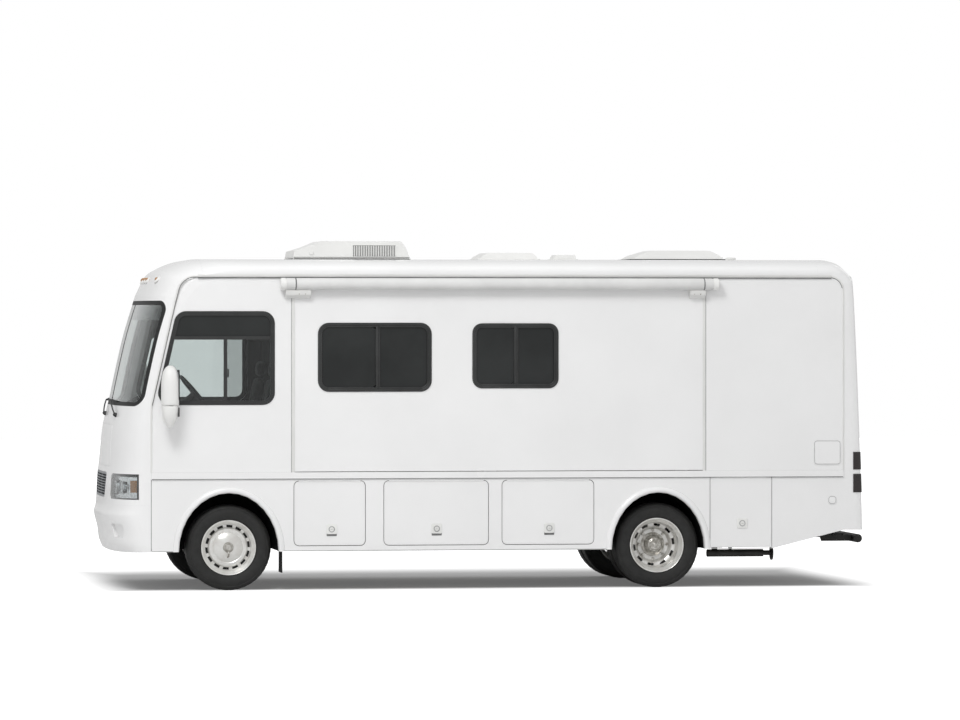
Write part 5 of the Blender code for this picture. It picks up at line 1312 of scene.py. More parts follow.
def make_slide_seal():
    """Grey wiper seal round the slide-out room, in the gap to the wall, and the flange round its face."""
    gap = 6 * MM
    x0, x1 = ROOM_LOW.x, ROOM_HIGH.x
    z0, z1 = ROOM_LOW.z, ROOM_HIGH.z
    low, high = -BODY_HALF + 3 * MM, -BODY_HALF + 30 * MM
    bars = [block("seal", x0 - gap, x0 - 1 * MM, low, high, z0, z1 + gap),
            block("seal", x1 + 1 * MM, x1 + gap, low, high, z0, z1 + gap),
            block("seal", x0 - gap, x1 + gap, low, high, z1 + 1 * MM, z1 + gap)]
    place_piece(joined("slide_room_seal", bars), GREY_RUBBER_AND_PAINTED_SHADE)
    flange = round_frame("slide_room_flange", (x0, z0, x1, z1), (1, 28), (4, 4), -BODY_HALF - 6 * MM,
                         -BODY_HALF - SEAT_GAP, "Y")
    place_piece(soften(flange, 2 * MM), EXTRUSION, "slide_out", 45)


TOPPER_LOW, TOPPER_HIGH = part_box("topper")
ROLLER_RADIUS = 57 * MM
ROLLER_Y = TOPPER_LOW.y + ROLLER_RADIUS
ROLLER_Z = TOPPER_HIGH.z - ROLLER_RADIUS - 15 * MM


def roller_piece(name, profile, end, steps, material, closed=False):
    """Piece turned on the awning's roller; (radius, place along it) points, in metres from an end."""
    piece = moved(revolved(name, profile, (0, 0, 0), steps, closed), (end, ROLLER_Y, ROLLER_Z), QUARTER_TURN)
    return place_piece(piece, material, "slide_out", 30)


def make_topper():
    """Rolled awning over the slide-out: cloth roll, end caps with a collar, and two folded brackets."""
    x0, x1 = TOPPER_LOW.x, TOPPER_HIGH.x
    slim = ROLLER_RADIUS - 3 * MM
    roll_profile = [(0, x0 + 60 * MM), (slim, x0 + 60 * MM), (slim, x1 - 60 * MM), (0, x1 - 60 * MM)]
    cloth = roller_piece("topper_roll", roll_profile, 0, 64, AWNING)
    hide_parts("topper")
    hem = [(x, ROLLER_Y + 20 * MM, ROLLER_Z + 52 * MM) for x in (x0 + 66 * MM, x1 - 66 * MM)]
    place_piece(tube("topper_cloth_hem", hem, 4 * MM, 8), AWNING, "slide_out")
    wall_y = -BODY_HALF - SEAT_GAP
    arm_line = rounded_corners([(wall_y, TOPPER_LOW.z), (wall_y, ROLLER_Z - 30 * MM),
                                (ROLLER_Y, ROLLER_Z - 46 * MM),
                                (ROLLER_Y - 16 * MM, ROLLER_Z - 60 * MM),
                                (ROLLER_Y - 6 * MM, TOPPER_LOW.z + 30 * MM),
                                (-BODY_HALF - 20 * MM, TOPPER_LOW.z)], (0, 0, 0, 8 * MM, 20 * MM, 8 * MM), 4)
    for name, end, way in (("front", x0, 1), ("rear", x1, -1)):
        cap = [(0, 0), (38 * MM, 0), (50 * MM, way * 4 * MM), (ROLLER_RADIUS, way * 12 * MM),
               (ROLLER_RADIUS, way * 52 * MM), (ROLLER_RADIUS - 6 * MM, way * 56 * MM),
               (ROLLER_RADIUS - 6 * MM, way * 62 * MM), (0, way * 62 * MM)]
        roller_piece("topper_cap_" + name, cap, end, 48, COVER_ABS)
        collar = [(ROLLER_RADIUS - 5 * MM, way * 140 * MM), (ROLLER_RADIUS, way * 144 * MM),
                  (ROLLER_RADIUS, way * 152 * MM), (ROLLER_RADIUS - 5 * MM, way * 152 * MM)]
        roller_piece("topper_collar_" + name, collar, end, 48, SEALANT_AND_PAINTED_SHADOW, True)
        start = ROOM_LOW.x + 2 * MM if way > 0 else ROOM_HIGH.x - 182 * MM
        reach = start - 68 * MM if way > 0 else start + 20 * MM
        bracket = prism("topper_bracket_" + name, arm_line, reach, start + 172 * MM, "X")
        place_piece(soften(bracket, 4 * MM, 3), EXTRUSION, "slide_out", 40)
        screws = hex_nuts("topper_screws_" + name,
                          (start + 90 * MM, ROLLER_Y - 6 * MM, TOPPER_LOW.z + 70 * MM),
                          42 * MM, 4, 6 * MM, 0.0, -4 * MM, math.pi / 4)
        place_piece(screws, HUB_STEEL, "slide_out")


# Roof units

LOUVRE_COUNT = 26


def make_air_unit():
    """Louvres in both flanks of the air unit over a black plate of painted shade, its dark foot and seam, and
    the small cap beside it.
    """
    low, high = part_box("roof_air_unit")
    first, last = station(2.440), station(2.872)
    foot, top = 3.172, 3.284
    pitch = (last - first) / LOUVRE_COUNT
    box = (first, foot, last, top)
    for name, side in SIDES:
        face = side * (high.y + SEAT_GAP)
        # Black plate behind the slats: painted shade of the openings.
        well = prism("louvre_painted_shade_" + name, drawn_in(box, 0, 8), *sorted((face, face + side * 1 * MM)), "Y")
        place_piece(well, BLACK_ABS_AND_PAINTED_SHADE)
        slats = [block("slat", first + (i + 0.25) * pitch, first + (i + 0.8) * pitch, face + side * 1 * MM,
                       face + side * 5 * MM, foot + 6 * MM, top - 6 * MM) for i in range(LOUVRE_COUNT)]
        slats.append(round_frame("rim", box, (-4, 3), (10, 7), *sorted((face, face + side * 5 * MM)), "Y"))
        place_piece(joined("louvres_" + name, slats), COVER_ABS)
        button = lathed("air_unit_button_" + name, ((0, 12), (15, 12), (19, 8), (21, -60), (0, -60)),
                        (station(2.045), face, ROOF_Z + 62 * MM), 28, side)
        place_piece(button, COVER_ABS)
    foot_seal = round_frame("air_unit_foot", (low.x, low.y, high.x, high.y), (-6, 8), (30, 20),
                            ROOF_Z + SEAT_GAP / 2, ROOF_Z + 9 * MM, "Z")
    place_piece(foot_seal, SEAL)
    proud = rounded(low.x + 4 * MM, low.y - 1.5 * MM, high.x - 4 * MM, high.y + 1.5 * MM, 6 * MM)
    core = rounded(low.x + 30 * MM, low.y + 6 * MM, high.x - 30 * MM, high.y - 6 * MM, 6 * MM)
    seam = ring_plate("air_unit_seam", proud, core, ROOF_Z + 18 * MM, ROOF_Z + 22 * MM, "Z")
    place_piece(seam, SEAL)


def make_roof_fittings():
    """Flange under each roof box, the rear vent's hinges and a vent pipe."""
    for node in ("roof_skylight", "roof_vent_front", "roof_vent_rear"):
        low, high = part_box(node)
        flange = round_frame(node + "_flange", (low.x, low.y, high.x, high.y), (-18, 10), (20, 10),
                             ROOF_Z + SEAT_GAP / 2, ROOF_Z + 8 * MM, "Z")
        place_piece(flange, SEAL if node == "roof_vent_rear" else COVER_ABS)
    low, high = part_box("roof_vent_rear")
    hinges = [block("hinge", high.x - 4 * MM, high.x + 14 * MM, y - 30 * MM, y + 30 * MM, ROOF_Z + 8 * MM,
                    ROOF_Z + 26 * MM) for y in (-0.2, 0.2)]
    place_piece(joined("roof_vent_hinges", hinges), COVER_ABS)
    pipe = lathed("roof_pipe", ((0, 0), (34, 0), (34, 30), (52, 34), (52, 46), (40, 54), (0, 56)), (0, 0, 0),
                  32)
    moved(pipe, (station(6.35), 0.55, ROOF_Z - 20 * MM), Quaternion((1, 0, 0), math.pi / 2))
    place_piece(pipe, COVER_ABS)


# Mirrors

# columns: share of the height, share of the half width: a tapered bulb under a tall head
MIRROR_SHARES = (
    (0.00, 0.12), (0.05, 0.42), (0.14, 0.70), (0.25, 0.88), (0.34, 0.90), (0.36, 0.82), (0.38, 0.97),
    (0.52, 1.00),
    (0.74, 0.97), (0.88, 0.82), (0.96, 0.56), (1.00, 0.22),
)
MIRROR_STEPS = 48
MIRROR_HALF_WIDTH = 110 * MM
MIRROR_OUT = 190 * MM
MIRROR_SQUARENESS = 0.8
GLASS_FACE_SHARE = 0.90


def oval(centre, half_x, half_y):
    """Level oval round a centre."""
    turns = [2 * math.pi * i / MIRROR_STEPS for i in range(MIRROR_STEPS)]
    return [(centre.x + half_x * math.cos(turn), centre.y + half_y * math.sin(turn)) for turn in turns]


def squared(value):
    """A sine or cosine that fills a squarer oval."""
    return math.copysign(abs(value) ** MIRROR_SQUARENESS, value)


def make_mirror(name, side):
    """Mirror head over its neck, with the flat and the wide-angle glass facing back."""
    node = "mirror_" + name
    low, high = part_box(node)
    centre = Vector(((low.x + high.x) / 2, side * (BODY_HALF + MIRROR_OUT), 0))
    tall = high.z - low.z
    half_x, half_y = (high.x - low.x) / 2, MIRROR_HALF_WIDTH
    rows = []
    for up, wide in smooth_line(MIRROR_SHARES, 4):
        row = []
        for step in range(MIRROR_STEPS):
            angle = 2 * math.pi * step / MIRROR_STEPS
            reach_x = min(half_x * wide * squared(math.cos(angle)), half_x * GLASS_FACE_SHARE)
            row.append((centre.x + reach_x, centre.y + half_y * wide * squared(math.sin(angle)),
                        low.z + max(min(up, 1.0), 0.0) * tall))
        rows.append(row)
    head = skin(node + "_shell", rows)
    place_piece(head, COVER_ABS, "coach", 40)
    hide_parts(node)
    arm_z = low.z + 89 * MM
    arm_rows = []
    for share in (0.0, 0.06, 0.10, 0.5, 1.0):
        reach = (60 if share < 0.08 else 44 - 12 * share) * MM
        y = side * (BODY_HALF + SEAT_GAP + share * 150 * MM)
        arm_rows.append([(centre.x + reach * math.cos(2 * math.pi * i / 24), y,
                          arm_z + reach * math.sin(2 * math.pi * i / 24)) for i in range(24)])
    place_piece(skin(node + "_arm", arm_rows), COVER_ABS, "coach", 40)
    glass_x = centre.x + half_x * GLASS_FACE_SHARE
    for label, foot, top, half in (("flat", 0.44, 0.93, 0.72), ("wide", 0.18, 0.33, 0.62)):
        box = (centre.y - half * half_y, low.z + foot * tall, centre.y + half * half_y, low.z + top * tall)
        start = node + "_" + label
        bezel = round_frame(start + "_bezel", box, (0, 7), (24, 18), glass_x - 6 * MM, glass_x + 4 * MM, "X")
        place_piece(bezel, BLACK_ABS_AND_PAINTED_SHADE)
        glass = prism(start + "_glass", drawn_in(box, 7, 18), glass_x - 6 * MM, glass_x + 1 * MM, "X")
        place_piece(glass, MIRROR)
    neck = ring_plate(node + "_neck", oval(centre, half_x * 0.80, half_y * 0.86),
                      oval(centre, half_x * 0.5, half_y * 0.5),
                      low.z + 0.345 * tall, low.z + 0.365 * tall, "Z")
    place_piece(neck, BLACK_ABS_AND_PAINTED_SHADE)


# Tail fittings

def make_tail_fittings():
    """Tail lamps at the corners, reversing lamps, a blank plate holder and the hatches of both sides."""
    layer = shell_between(-6 * MM, 12 * MM)
    for name, side in SIDES:
        for label, z0, z1 in (("upper", 1.125, 1.294), ("lower", 0.906, 1.083)):
            near, far = sorted((side * 0.985, side * OUTSIDE_Y))
            tool = prism("tool", rounded(near, z0, far, z1, 12 * MM), station(BODY_LENGTH - 0.112),
                         BEHIND_X, "X")
            layer_piece("tail_lamp_%s_%s" % (label, name), copy_of(layer, "lamp"), tool, RED)
        near, far = sorted((side * 0.84, side * 0.96))
        tool = behind_prism(rounded(near, 0.93, far, 1.06, 20 * MM))
        layer_piece("reversing_lamp_" + name, copy_of(layer, "lamp"), tool, LENS)
    tool = ring_plate("tool", rounded(-0.19, 0.90, 0.19, 1.05, 14 * MM),
                      rounded(-0.165, 0.92, 0.165, 1.03, 8 * MM),
                      station(TAIL_SEAM), BEHIND_X, "X")
    layer_piece("plate_holder", copy_of(layer, "holder"), tool, BLACK_ABS_AND_PAINTED_SHADE)
    bpy.data.objects.remove(layer)
    make_hatch("water_hatch", LEFT, station(6.796), station(7.063), 1.170, 1.408, False)
    make_hatch("shore_power_hatch", LEFT, station(6.935), station(7.021), 0.790, 0.876, False)
    make_hatch("fuel_hatch", RIGHT, station(6.600), station(6.760), 0.760, 0.900)


# Entry door

ENTRY_FRONT = 1.840
ENTRY_REAR = 2.520
RAIL_FOOT_Z = 1.25
RAIL_TOP_Z = 2.02


def make_entry_door():
    """Entry door's window and latch, the grab rail beside the door and the porch lamp over it."""
    face = BODY_HALF
    box = (station(ENTRY_FRONT) + 0.12, 1.65, station(ENTRY_REAR) - 0.12, 2.42)
    rim = round_frame("entry_window_frame", box, (-30, 0), (70, 45), face + SEAT_GAP, face + 8 * MM, "Y")
    place_piece(soften(rim, 2 * MM), WINDOW_FRAME, "entry_door", 45)
    glass = prism("entry_window_glass", drawn_in(box, -4, 48), face - 4 * MM, face + 3 * MM, "Y")
    place_piece(glass, PRIVACY_GLASS, "entry_door")
    make_latch("entry_door_latch", RIGHT, station(ENTRY_REAR) - 75 * MM, 1.42, "entry_door", False)
    rail_x = station(ENTRY_REAR) + 90 * MM
    grip = [(rail_x, face + out * MM, z) for out, z in ((0, RAIL_FOOT_Z), (45, 1.27), (52, 1.32), (52, 1.95),
                                                        (45, 2.00), (0, RAIL_TOP_Z))]
    place_piece(tube("entry_grab_rail", smooth_line(grip, 4), 14 * MM, 14), BLACK_ABS_AND_PAINTED_SHADE)
    for z in (RAIL_FOOT_Z, RAIL_TOP_Z):
        foot = lathed("grab_rail_foot_%d" % (z * 100), ((0, 0), (30, 0), (30, 5), (18, 14), (0, 14)),
                      (rail_x, face + SEAT_GAP, z), 24)
        place_piece(foot, BLACK_ABS_AND_PAINTED_SHADE)
    porch = dome("porch_lamp", (station(2.180), face, 2.70), (0, 1, 0), 60 * MM, 60 * MM, 30 * MM)
    place_piece(porch, MILKY_ACRYLIC)


# Wheel wells

WELL_INNER = {"front": 0.560, "rear": 0.600}
WELL_NOTCH = 0.240
WELL_NOTCH_Z = 0.700


def make_wells():
    """Moulded black liner over each wheel, closed by a wall that leaves room for the axle; both are near
    black, partly their own colour and partly painted shade of the well.
    """
    foot = SKIRT_LOW.z
    for label, front, back, top in ARCHES:
        axle_x = middle(label + "_axle").x
        for name, side in SIDES:
            near, far = side * WELL_INNER[label], side * (BODY_HALF - WALL - 2 * MM)
            shell_line = arch_line(front, back, top, 6 * MM)
            outer_line = arch_line(front, back, top, 10 * MM)
            rows = [[(x, near, z), (x, far, z), (u, far, w), (u, near, w)]
                    for (x, z), (u, w) in zip(shell_line, outer_line)]
            liner = skin("well_liner", rows)
            notch = [(axle_x - WELL_NOTCH, foot), (axle_x - WELL_NOTCH, WELL_NOTCH_Z),
                     (axle_x + WELL_NOTCH, WELL_NOTCH_Z),
                     (axle_x + WELL_NOTCH, foot)]
            wall = prism("well_wall", outer_line + notch, *sorted((near, near - side * 4 * MM)), "Y")
            place_piece(joined("wheel_well_%s_%s" % (label, name), [liner, wall]), WELL_LINER_AND_PAINTED_SHADE)


# Cab interior

DRIVER_OFF = -middle("driver_seat").y
SEATS = (("driver_seat", -DRIVER_OFF), ("passenger_seat", DRIVER_OFF))
FLOOR_TOP_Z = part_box("floor")[1].z
SIM_FRAMES = 20
CAP_MOVE = 24 * MM
PAD_VOXEL = 7 * MM
SLAB_STEPS = 6


def rounded_slab(name, half_x, half_y, half_z, radius):
    """Pillow-shaped start of a cushion: a rounded outline that narrows above and below."""
    rows = []
    for step in range(-SLAB_STEPS, SLAB_STEPS + 1):
        level = step / SLAB_STEPS
        slim = radius * (1 - math.sqrt(max(0.0, 1 - (abs(level) ** 3))))
        outline = rounded(-half_x + slim, -half_y + slim, half_x - slim, half_y - slim,
                          max(radius - slim, 8 * MM))
        rows.append([(x, y, level * half_z) for x, y in outline])
    return skin(name, rows)


def padded_cushion(name, half_x, half_y, half_z, radius, channels):
    """Foam cushion blown up by a cloth simulation; sewn channels are held down."""
    cushion = rounded_slab(name, half_x, half_y, half_z, radius)
    remesh = cushion.modifiers.new("even_mesh", "REMESH")
    remesh.mode = "VOXEL"
    remesh.voxel_size = PAD_VOXEL
    apply_modifiers(cushion)
    start = [vertex.co.copy() for vertex in cushion.data.vertices]
    held = cushion.vertex_groups.new(name="sewn")
    for vertex in cushion.data.vertices:
        near = min(abs(vertex.co.y - line) for line in channels)
        if near < PAD_VOXEL * 0.6:
            held.add([vertex.index], 1.0, "REPLACE")
    cloth = cushion.modifiers.new("cover", "CLOTH")
    cloth.settings.quality = 4
    cloth.settings.use_pressure = True
    cloth.settings.uniform_pressure_force = 4.0
    cloth.settings.vertex_group_mass = "sewn"
    cloth.settings.effector_weights.gravity = 0.0
    cloth.point_cache.frame_start = 1
    cloth.point_cache.frame_end = SIM_FRAMES
    scene = bpy.context.scene
    for moment in range(1, SIM_FRAMES + 1):
        scene.frame_set(moment)
        bpy.context.view_layer.update()
    apply_modifiers(cushion)
    for vertex, before in zip(cushion.data.vertices, start):
        move = vertex.co - before
        if move.length > CAP_MOVE:
            vertex.co = before + move.normalized() * CAP_MOVE
    scene.frame_set(1)
    return cushion


def make_cushions():
    """Three sewn cushions for each seat, of one shape each, leaning or upright on the seat."""
    pads = (
        ("squab", (0.215, 0.225, 0.045, 0.060), (-0.120, 0.120), (station(1.365), 1.485), 0.0),
        ("back", (0.225, 0.220, 0.040, 0.060), (-0.115, 0.115), (station(1.615), 1.765), math.pi / 2 + 0.10),
        ("headrest", (0.070, 0.130, 0.035, 0.040), (-0.5, 0.5), (station(1.650), 2.085), math.pi / 2 + 0.10),
    )
    for label, size, channels, (x, z), lean in pads:
        first = padded_cushion("cushion", *size, channels)
        for seat, y in SEATS:
            pad = copy_of(first, "%s_%s" % (seat, label))
            moved(pad, (x, y, z), Quaternion((0, 1, 0), lean))
            pad.vertex_groups.clear()
            place_piece(pad, UPHOLSTERY, "coach", 60)
            if label == "squab":
                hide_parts(seat)
        bpy.data.objects.remove(first)


def make_seat_bases():
    """Steel pedestal and two plastic side shields under each seat."""
    shield = [(station(1.36), 1.42), (station(1.64), 1.42), (station(1.70), 1.60), (station(1.66), 1.64),
              (station(1.58), 1.52), (station(1.36), 1.50)]
    for seat, y in SEATS:
        rows = []
        for z, half_x, half_y in ((FLOOR_TOP_Z + SEAT_GAP, 0.17, 0.19), (1.12, 0.17, 0.19),
                                  (1.16, 0.12, 0.14),
                                  (1.36, 0.12, 0.14), (1.40, 0.20, 0.21), (1.425, 0.20, 0.21)):
            rows.append([(station(1.40) + u * half_x, y + v * half_y, z)
                         for u, v in ((-1, -1), (1, -1), (1, 1), (-1, 1))])
        base = skin(seat + "_pedestal", rows)
        place_piece(soften(base, 8 * MM, 3), CHASSIS)
        for label, out in (("in", -0.236), ("out", 0.236)):
            cover = prism("%s_side_shield_%s" % (seat, label), shield, y + out - 6 * MM, y + out + 6 * MM,
                          "Y")
            place_piece(soften(cover, 4 * MM, 3), BLACK_ABS_AND_PAINTED_SHADE)


STEER_X = 0.900
STEER_Z = 1.860
STEER_LEAN = 40
STEER_RADIUS = 0.210
STEER_TUBE = 14 * MM


def make_steering_wheel():
    """Steering wheel with a grained rim, three spokes and a padded hub."""
    turns = [2 * math.pi * i / 14 for i in range(14)]
    rim = [(STEER_RADIUS + STEER_TUBE * math.cos(turn), STEER_TUBE * math.sin(turn)) for turn in turns]
    hub = ((0, -30), (40, -30), (56, -10), (60, 6), (48, 14), (20, 17), (0, 17))
    items = [revolved("rim", rim, (0, 0, 0), 72, closed=True), lathed("hub", hub, (0, 0, 0), 40)]
    section = ((-1, -0.5), (-0.7, -1), (0.7, -1), (1, -0.5), (1, 0.5), (0.7, 1), (-0.7, 1), (-1, 0.5))
    for angle in (0.15, math.pi - 0.15, 1.5 * math.pi):
        c, s = math.cos(angle), math.sin(angle)
        rows = []
        for reach, wide, deep in ((40 * MM, 24 * MM, 7 * MM), (110 * MM, 15 * MM, 6 * MM),
                                  (STEER_RADIUS, 13 * MM, 6 * MM)):
            rows.append([(reach * c - u * wide * s, v * deep, reach * s + u * wide * c) for u, v in section])
        items.append(skin("spoke", rows))
    wheel = joined("steering_wheel_rim", items)
    turn = Quaternion((0, 1, 0), -math.radians(STEER_LEAN)) @ QUARTER_TURN
    moved(wheel, (station(STEER_X), -DRIVER_OFF, STEER_Z), turn)
    place_piece(wheel, BLACK_ABS_AND_PAINTED_SHADE, "steering_wheel", 40)
    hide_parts("steering_wheel")


COWL_FOOT_Z = 1.70


def make_dash_fittings():
    """Instrument cowl in front of the driver, air vents and a radio panel on the dashboard's rear face."""
    rear = station(0.760)
    rows = []
    for step in range(13):
        angle = math.pi * step / 12
        y = -DRIVER_OFF + 0.20 * math.cos(angle)
        lift = 75 * MM * math.sin(angle) ** 0.6
        rows.append([(station(0.56), y, COWL_FOOT_Z), (station(0.66), y, COWL_FOOT_Z + lift),
                     (rear + 20 * MM, y, COWL_FOOT_Z + lift * 1.1),
                     (rear + 20 * MM, y, COWL_FOOT_Z - 40 * MM)])
    cowl = skin("instrument_cowl", rows)
    place_piece(soften(cowl, 6 * MM, 3), BLACK_ABS_AND_PAINTED_SHADE)
    for index, y in enumerate((-0.95, -0.16, 0.16, 0.95)):
        box = (y - 60 * MM, 1.55, y + 60 * MM, 1.63)
        items = [round_frame("frame", box, (0, 8), (14, 10), rear, rear + 10 * MM, "X")]
        for z in (1.570, 1.588, 1.606):
            items.append(block("slat", rear, rear + 7 * MM, y - 54 * MM, y + 54 * MM, z, z + 4 * MM))
        place_piece(joined("dash_vent_%d" % index, items), GREY_ABS)
    radio = prism("radio_panel", rounded(-0.10, 1.44, 0.10, 1.53, 8 * MM), rear, rear + 8 * MM, "X")
    place_piece(soften(radio, 2 * MM), GREY_ABS)


LINING_REAR = 1.760


def make_cab_lining():
    """Felt lining inside the cap, the walls and the ceiling of the cab, and the bulkhead behind the seats."""
    lining = shell_between(WALL + 1 * MM, WALL + 6 * MM, ROOF_THICK + 6 * MM)
    keep(lining, block("tool", AHEAD_X, station(LINING_REAR), -BODY_HALF, BODY_HALF, 1.09, ROOF_Z))
    cut(lining, ahead_prism(shield_outline(6 * MM), SHIELD_REACH))
    for side in (LEFT, RIGHT):
        cut(lining, side_prism(cab_outline(-6 * MM), side))
    lining.name = "cab_lining"
    place_piece(lining, LINING, "coach", 50)
    half = BODY_HALF - WALL - 10 * MM
    bulkhead = prism("cab_bulkhead",
                     rounded(-half, FLOOR_TOP_Z + 2 * MM, half, ROOF_Z - ROOF_THICK - 20 * MM, 60 * MM),
                     station(LINING_REAR) - 30 * MM, station(LINING_REAR) - 12 * MM, "X")
    place_piece(soften(bulkhead, 3 * MM), LINING)


# Tyres and wheels

TREAD_DEPTH = 11 * MM
TREAD_GROOVE = 9 * MM
TREAD_RIBS = 5
TYRE_STEPS = 120
SHOULDER_NOTCH = 2 * MM
BEAD_SHARE = 0.625
NOTCH_SHARE = 0.955


def tyre_profile(bead, radius, width):
    """Closed section of a tyre: beads, bulged sidewalls with rings, and a ribbed tread."""
    half = width / 2
    rise = radius - bead
    side = ((0.00, 0.78), (0.04, 0.83), (0.10, 0.85), (0.13, 0.90), (0.30, 0.97), (0.46, 1.00), (0.60, 0.985),
            (0.70, 0.955), (0.72, 0.93), (0.755, 0.925), (0.775, 0.94), (0.86, 0.89), (0.93, 0.82),
            (0.98, 0.73),
            (1.00, 0.66))
    line = [(bead + up * rise, -out * half) for up, out in side]
    tread = half * 0.66
    pitch = 2 * tread / TREAD_RIBS
    for rib in range(1, TREAD_RIBS):
        at = -tread + rib * pitch
        line += [(radius, at - TREAD_GROOVE / 2), (radius - TREAD_DEPTH, at - TREAD_GROOVE / 3),
                 (radius - TREAD_DEPTH, at + TREAD_GROOVE / 3), (radius, at + TREAD_GROOVE / 2)]
    line += [(bead + up * rise, out * half) for up, out in reversed(side)]
    return line


def make_tyre(node, body):
    """Tyre of a wheel, with notches cut in its shoulders."""
    low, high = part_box(node)
    centre = (low + high) / 2
    radius = (high.z - low.z) / 2
    width = high.y - low.y
    tyre = revolved(node + "_tread", tyre_profile(radius * BEAD_SHARE, radius, width), centre, TYRE_STEPS,
                    closed=True)
    for vertex in tyre.data.vertices:
        away = Vector((vertex.co.x - centre.x, 0, vertex.co.z - centre.z))
        across = abs(vertex.co.y - centre.y) / (width / 2)
        step = round(math.degrees(math.atan2(away.z, away.x)) % 360 / 360 * TYRE_STEPS)
        if away.length > radius * NOTCH_SHARE and across > 0.6 and step % 3 == 0:
            vertex.co -= away.normalized() * SHOULDER_NOTCH
    place_piece(tyre, RUBBER, body, 28)
    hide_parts(node)


RIM_LIP = 7 * MM
RIM_WIDTH = 200 * MM
RIM_STEPS = 96
SLOT_COUNT = 14
REAR_SLOT_COUNT = 10


def rim_profile(flange, width, out):
    """Open section of a rim, from its outer lip over the well to the inner lip."""
    half = width / 2
    well = flange - 32 * MM
    return [
        (flange - 3 * MM, out * (half - 2 * MM)), (flange, out * half), (flange, out * (half - RIM_LIP)),
        (flange - 9 * MM, out * (half - 2 * RIM_LIP)), (well, out * (half - 40 * MM)),
        (well, -out * (half - 40 * MM)), (flange - 9 * MM, -out * (half - 2 * RIM_LIP)),
        (flange, -out * (half - RIM_LIP)), (flange, -out * half), (flange - 8 * MM, -out * half),
        (flange - 12 * MM, -out * (half - RIM_LIP)), (well - 6 * MM, -out * (half - 34 * MM)),
        (well - 6 * MM, out * (half - 38 * MM)), (flange - 14 * MM, out * (half - 10 * MM)),
        (flange - 10 * MM, out * (half - 1 * MM)),
    ]


def slotted_disc(name, centre, rings, slot_ring, slots, share, thick):
    """Disc of rings (radius, y) whose slot ring is cut through, then given a thickness."""
    work = bmesh.new()
    per = 8
    steps = slots * per
    rows = []
    for radius, depth in rings:
        row = []
        for step in range(steps):
            angle = 2 * math.pi * step / steps
            row.append(work.verts.new((centre[0] + radius * math.cos(angle), centre[1] + depth,
                                       centre[2] + radius * math.sin(angle))))
        rows.append(row)
    for ring, (low, high) in enumerate(zip(rows, rows[1:])):
        for step in range(steps):
            open_slot = ring == slot_ring and step % per < share * per
            if not open_slot:
                after = (step + 1) % steps
                work.faces.new((low[step], low[after], high[after], high[step]))
    disc = object_of(name, work)
    thicken = disc.modifiers.new("plate", "SOLIDIFY")
    thicken.thickness = thick
    thicken.offset = 0
    apply_modifiers(disc)
    return disc


def hex_nuts(name, centre, radius, count, size, low, high, turn=0.0):
    """Ring of six-sided nuts with chamfered tops."""
    nuts = []
    for index in range(count):
        angle = 2 * math.pi * index / count + turn
        spot = (centre[0] + radius * math.cos(angle), centre[1], centre[2] + radius * math.sin(angle))
        profile = [(0, low), (size, low), (size, high - (high - low) * 0.15), (size * 0.78, high),
                   (size * 0.4, high),
                   (size * 0.34, high + (high - low) * 0.35), (0, high + (high - low) * 0.35)]
        nuts.append(revolved("nut", profile, spot, 6))
    return joined(name, nuts)


def outwards(side, profile, shift=0.0):
    """Turns (radius in metres, depth in millimetres) points to metres, with the depth counted outwards."""
    return [(radius, side * (shift + depth * MM)) for radius, depth in profile]


FRONT_DISC = ((0.226, 20), (0.219, 10), (0.214, 8), (0.189, 12), (0.184, 30), (0.176, 38), (0.150, 43),
              (0.143, 40),
              (0.135, 46), (0.110, 58), (0.080, 66), (0.052, 70), (0.050, 58))
FRONT_HUB = ((0.052, 52), (0.052, 66), (0.047, 72), (0.036, 74), (0.034, 80), (0.028, 87), (0.014, 90),
             (0, 90))
BRAKE_DRUM = ((0, -2), (0.219, -2), (0.219, -60), (0, -60))
# columns: place behind the hub's middle, outwards, height over it, in millimetres
HUB_TAB = ((0, 72, -46), (3, 84, -62), (2, 82, -84), (-6, 68, -92))
REAR_DISH_EDGE = ((0.232, 20), (0.224, -20), (0.214, -45), (0.205, -55), (0.180, -62))
REAR_DISH = ((0.170, 62), (0.160, 40), (0.150, 22), (0.120, 14), (0.067, 14))
REAR_HUB = ((0.116, 14), (0.112, 30), (0.092, 38), (0.080, 90), (0.068, 104), (0.064, 118), (0.048, 126),
            (0.044, 138), (0.018, 142), (0.016, 150), (0, 150))


def make_front_wheel(side_name, side):
    """Silver rim with a ring of slots round a smooth domed disc, a stepped hub and a bent tab under it."""
    node = "front_wheel_" + side_name
    centre = middle("front_tyre_" + side_name)
    flange = (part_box(node)[1].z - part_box(node)[0].z) / 2
    rim = revolved("rim", rim_profile(flange, RIM_WIDTH, side), centre, RIM_STEPS, closed=True)
    disc = slotted_disc("disc", centre, outwards(side, FRONT_DISC), 2, SLOT_COUNT, 0.6, 4 * MM)
    wheel = joined(node + "_rim", [rim, disc])
    place_piece(wheel, SILVER, node, 30)
    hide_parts(node)
    place_piece(revolved(node + "_hub", outwards(side, FRONT_HUB), centre, 40), HUB_STEEL, node, 30)
    place_piece(revolved(node + "_drum", outwards(side, BRAKE_DRUM), centre, 40), CHASSIS, node, 30)
    line = [(centre.x + x * MM, centre.y + side * out * MM, centre.z + z * MM) for x, out, z in HUB_TAB]
    place_piece(tube(node + "_tab", line, 8 * MM, 12), HUB_STEEL, node, 40)


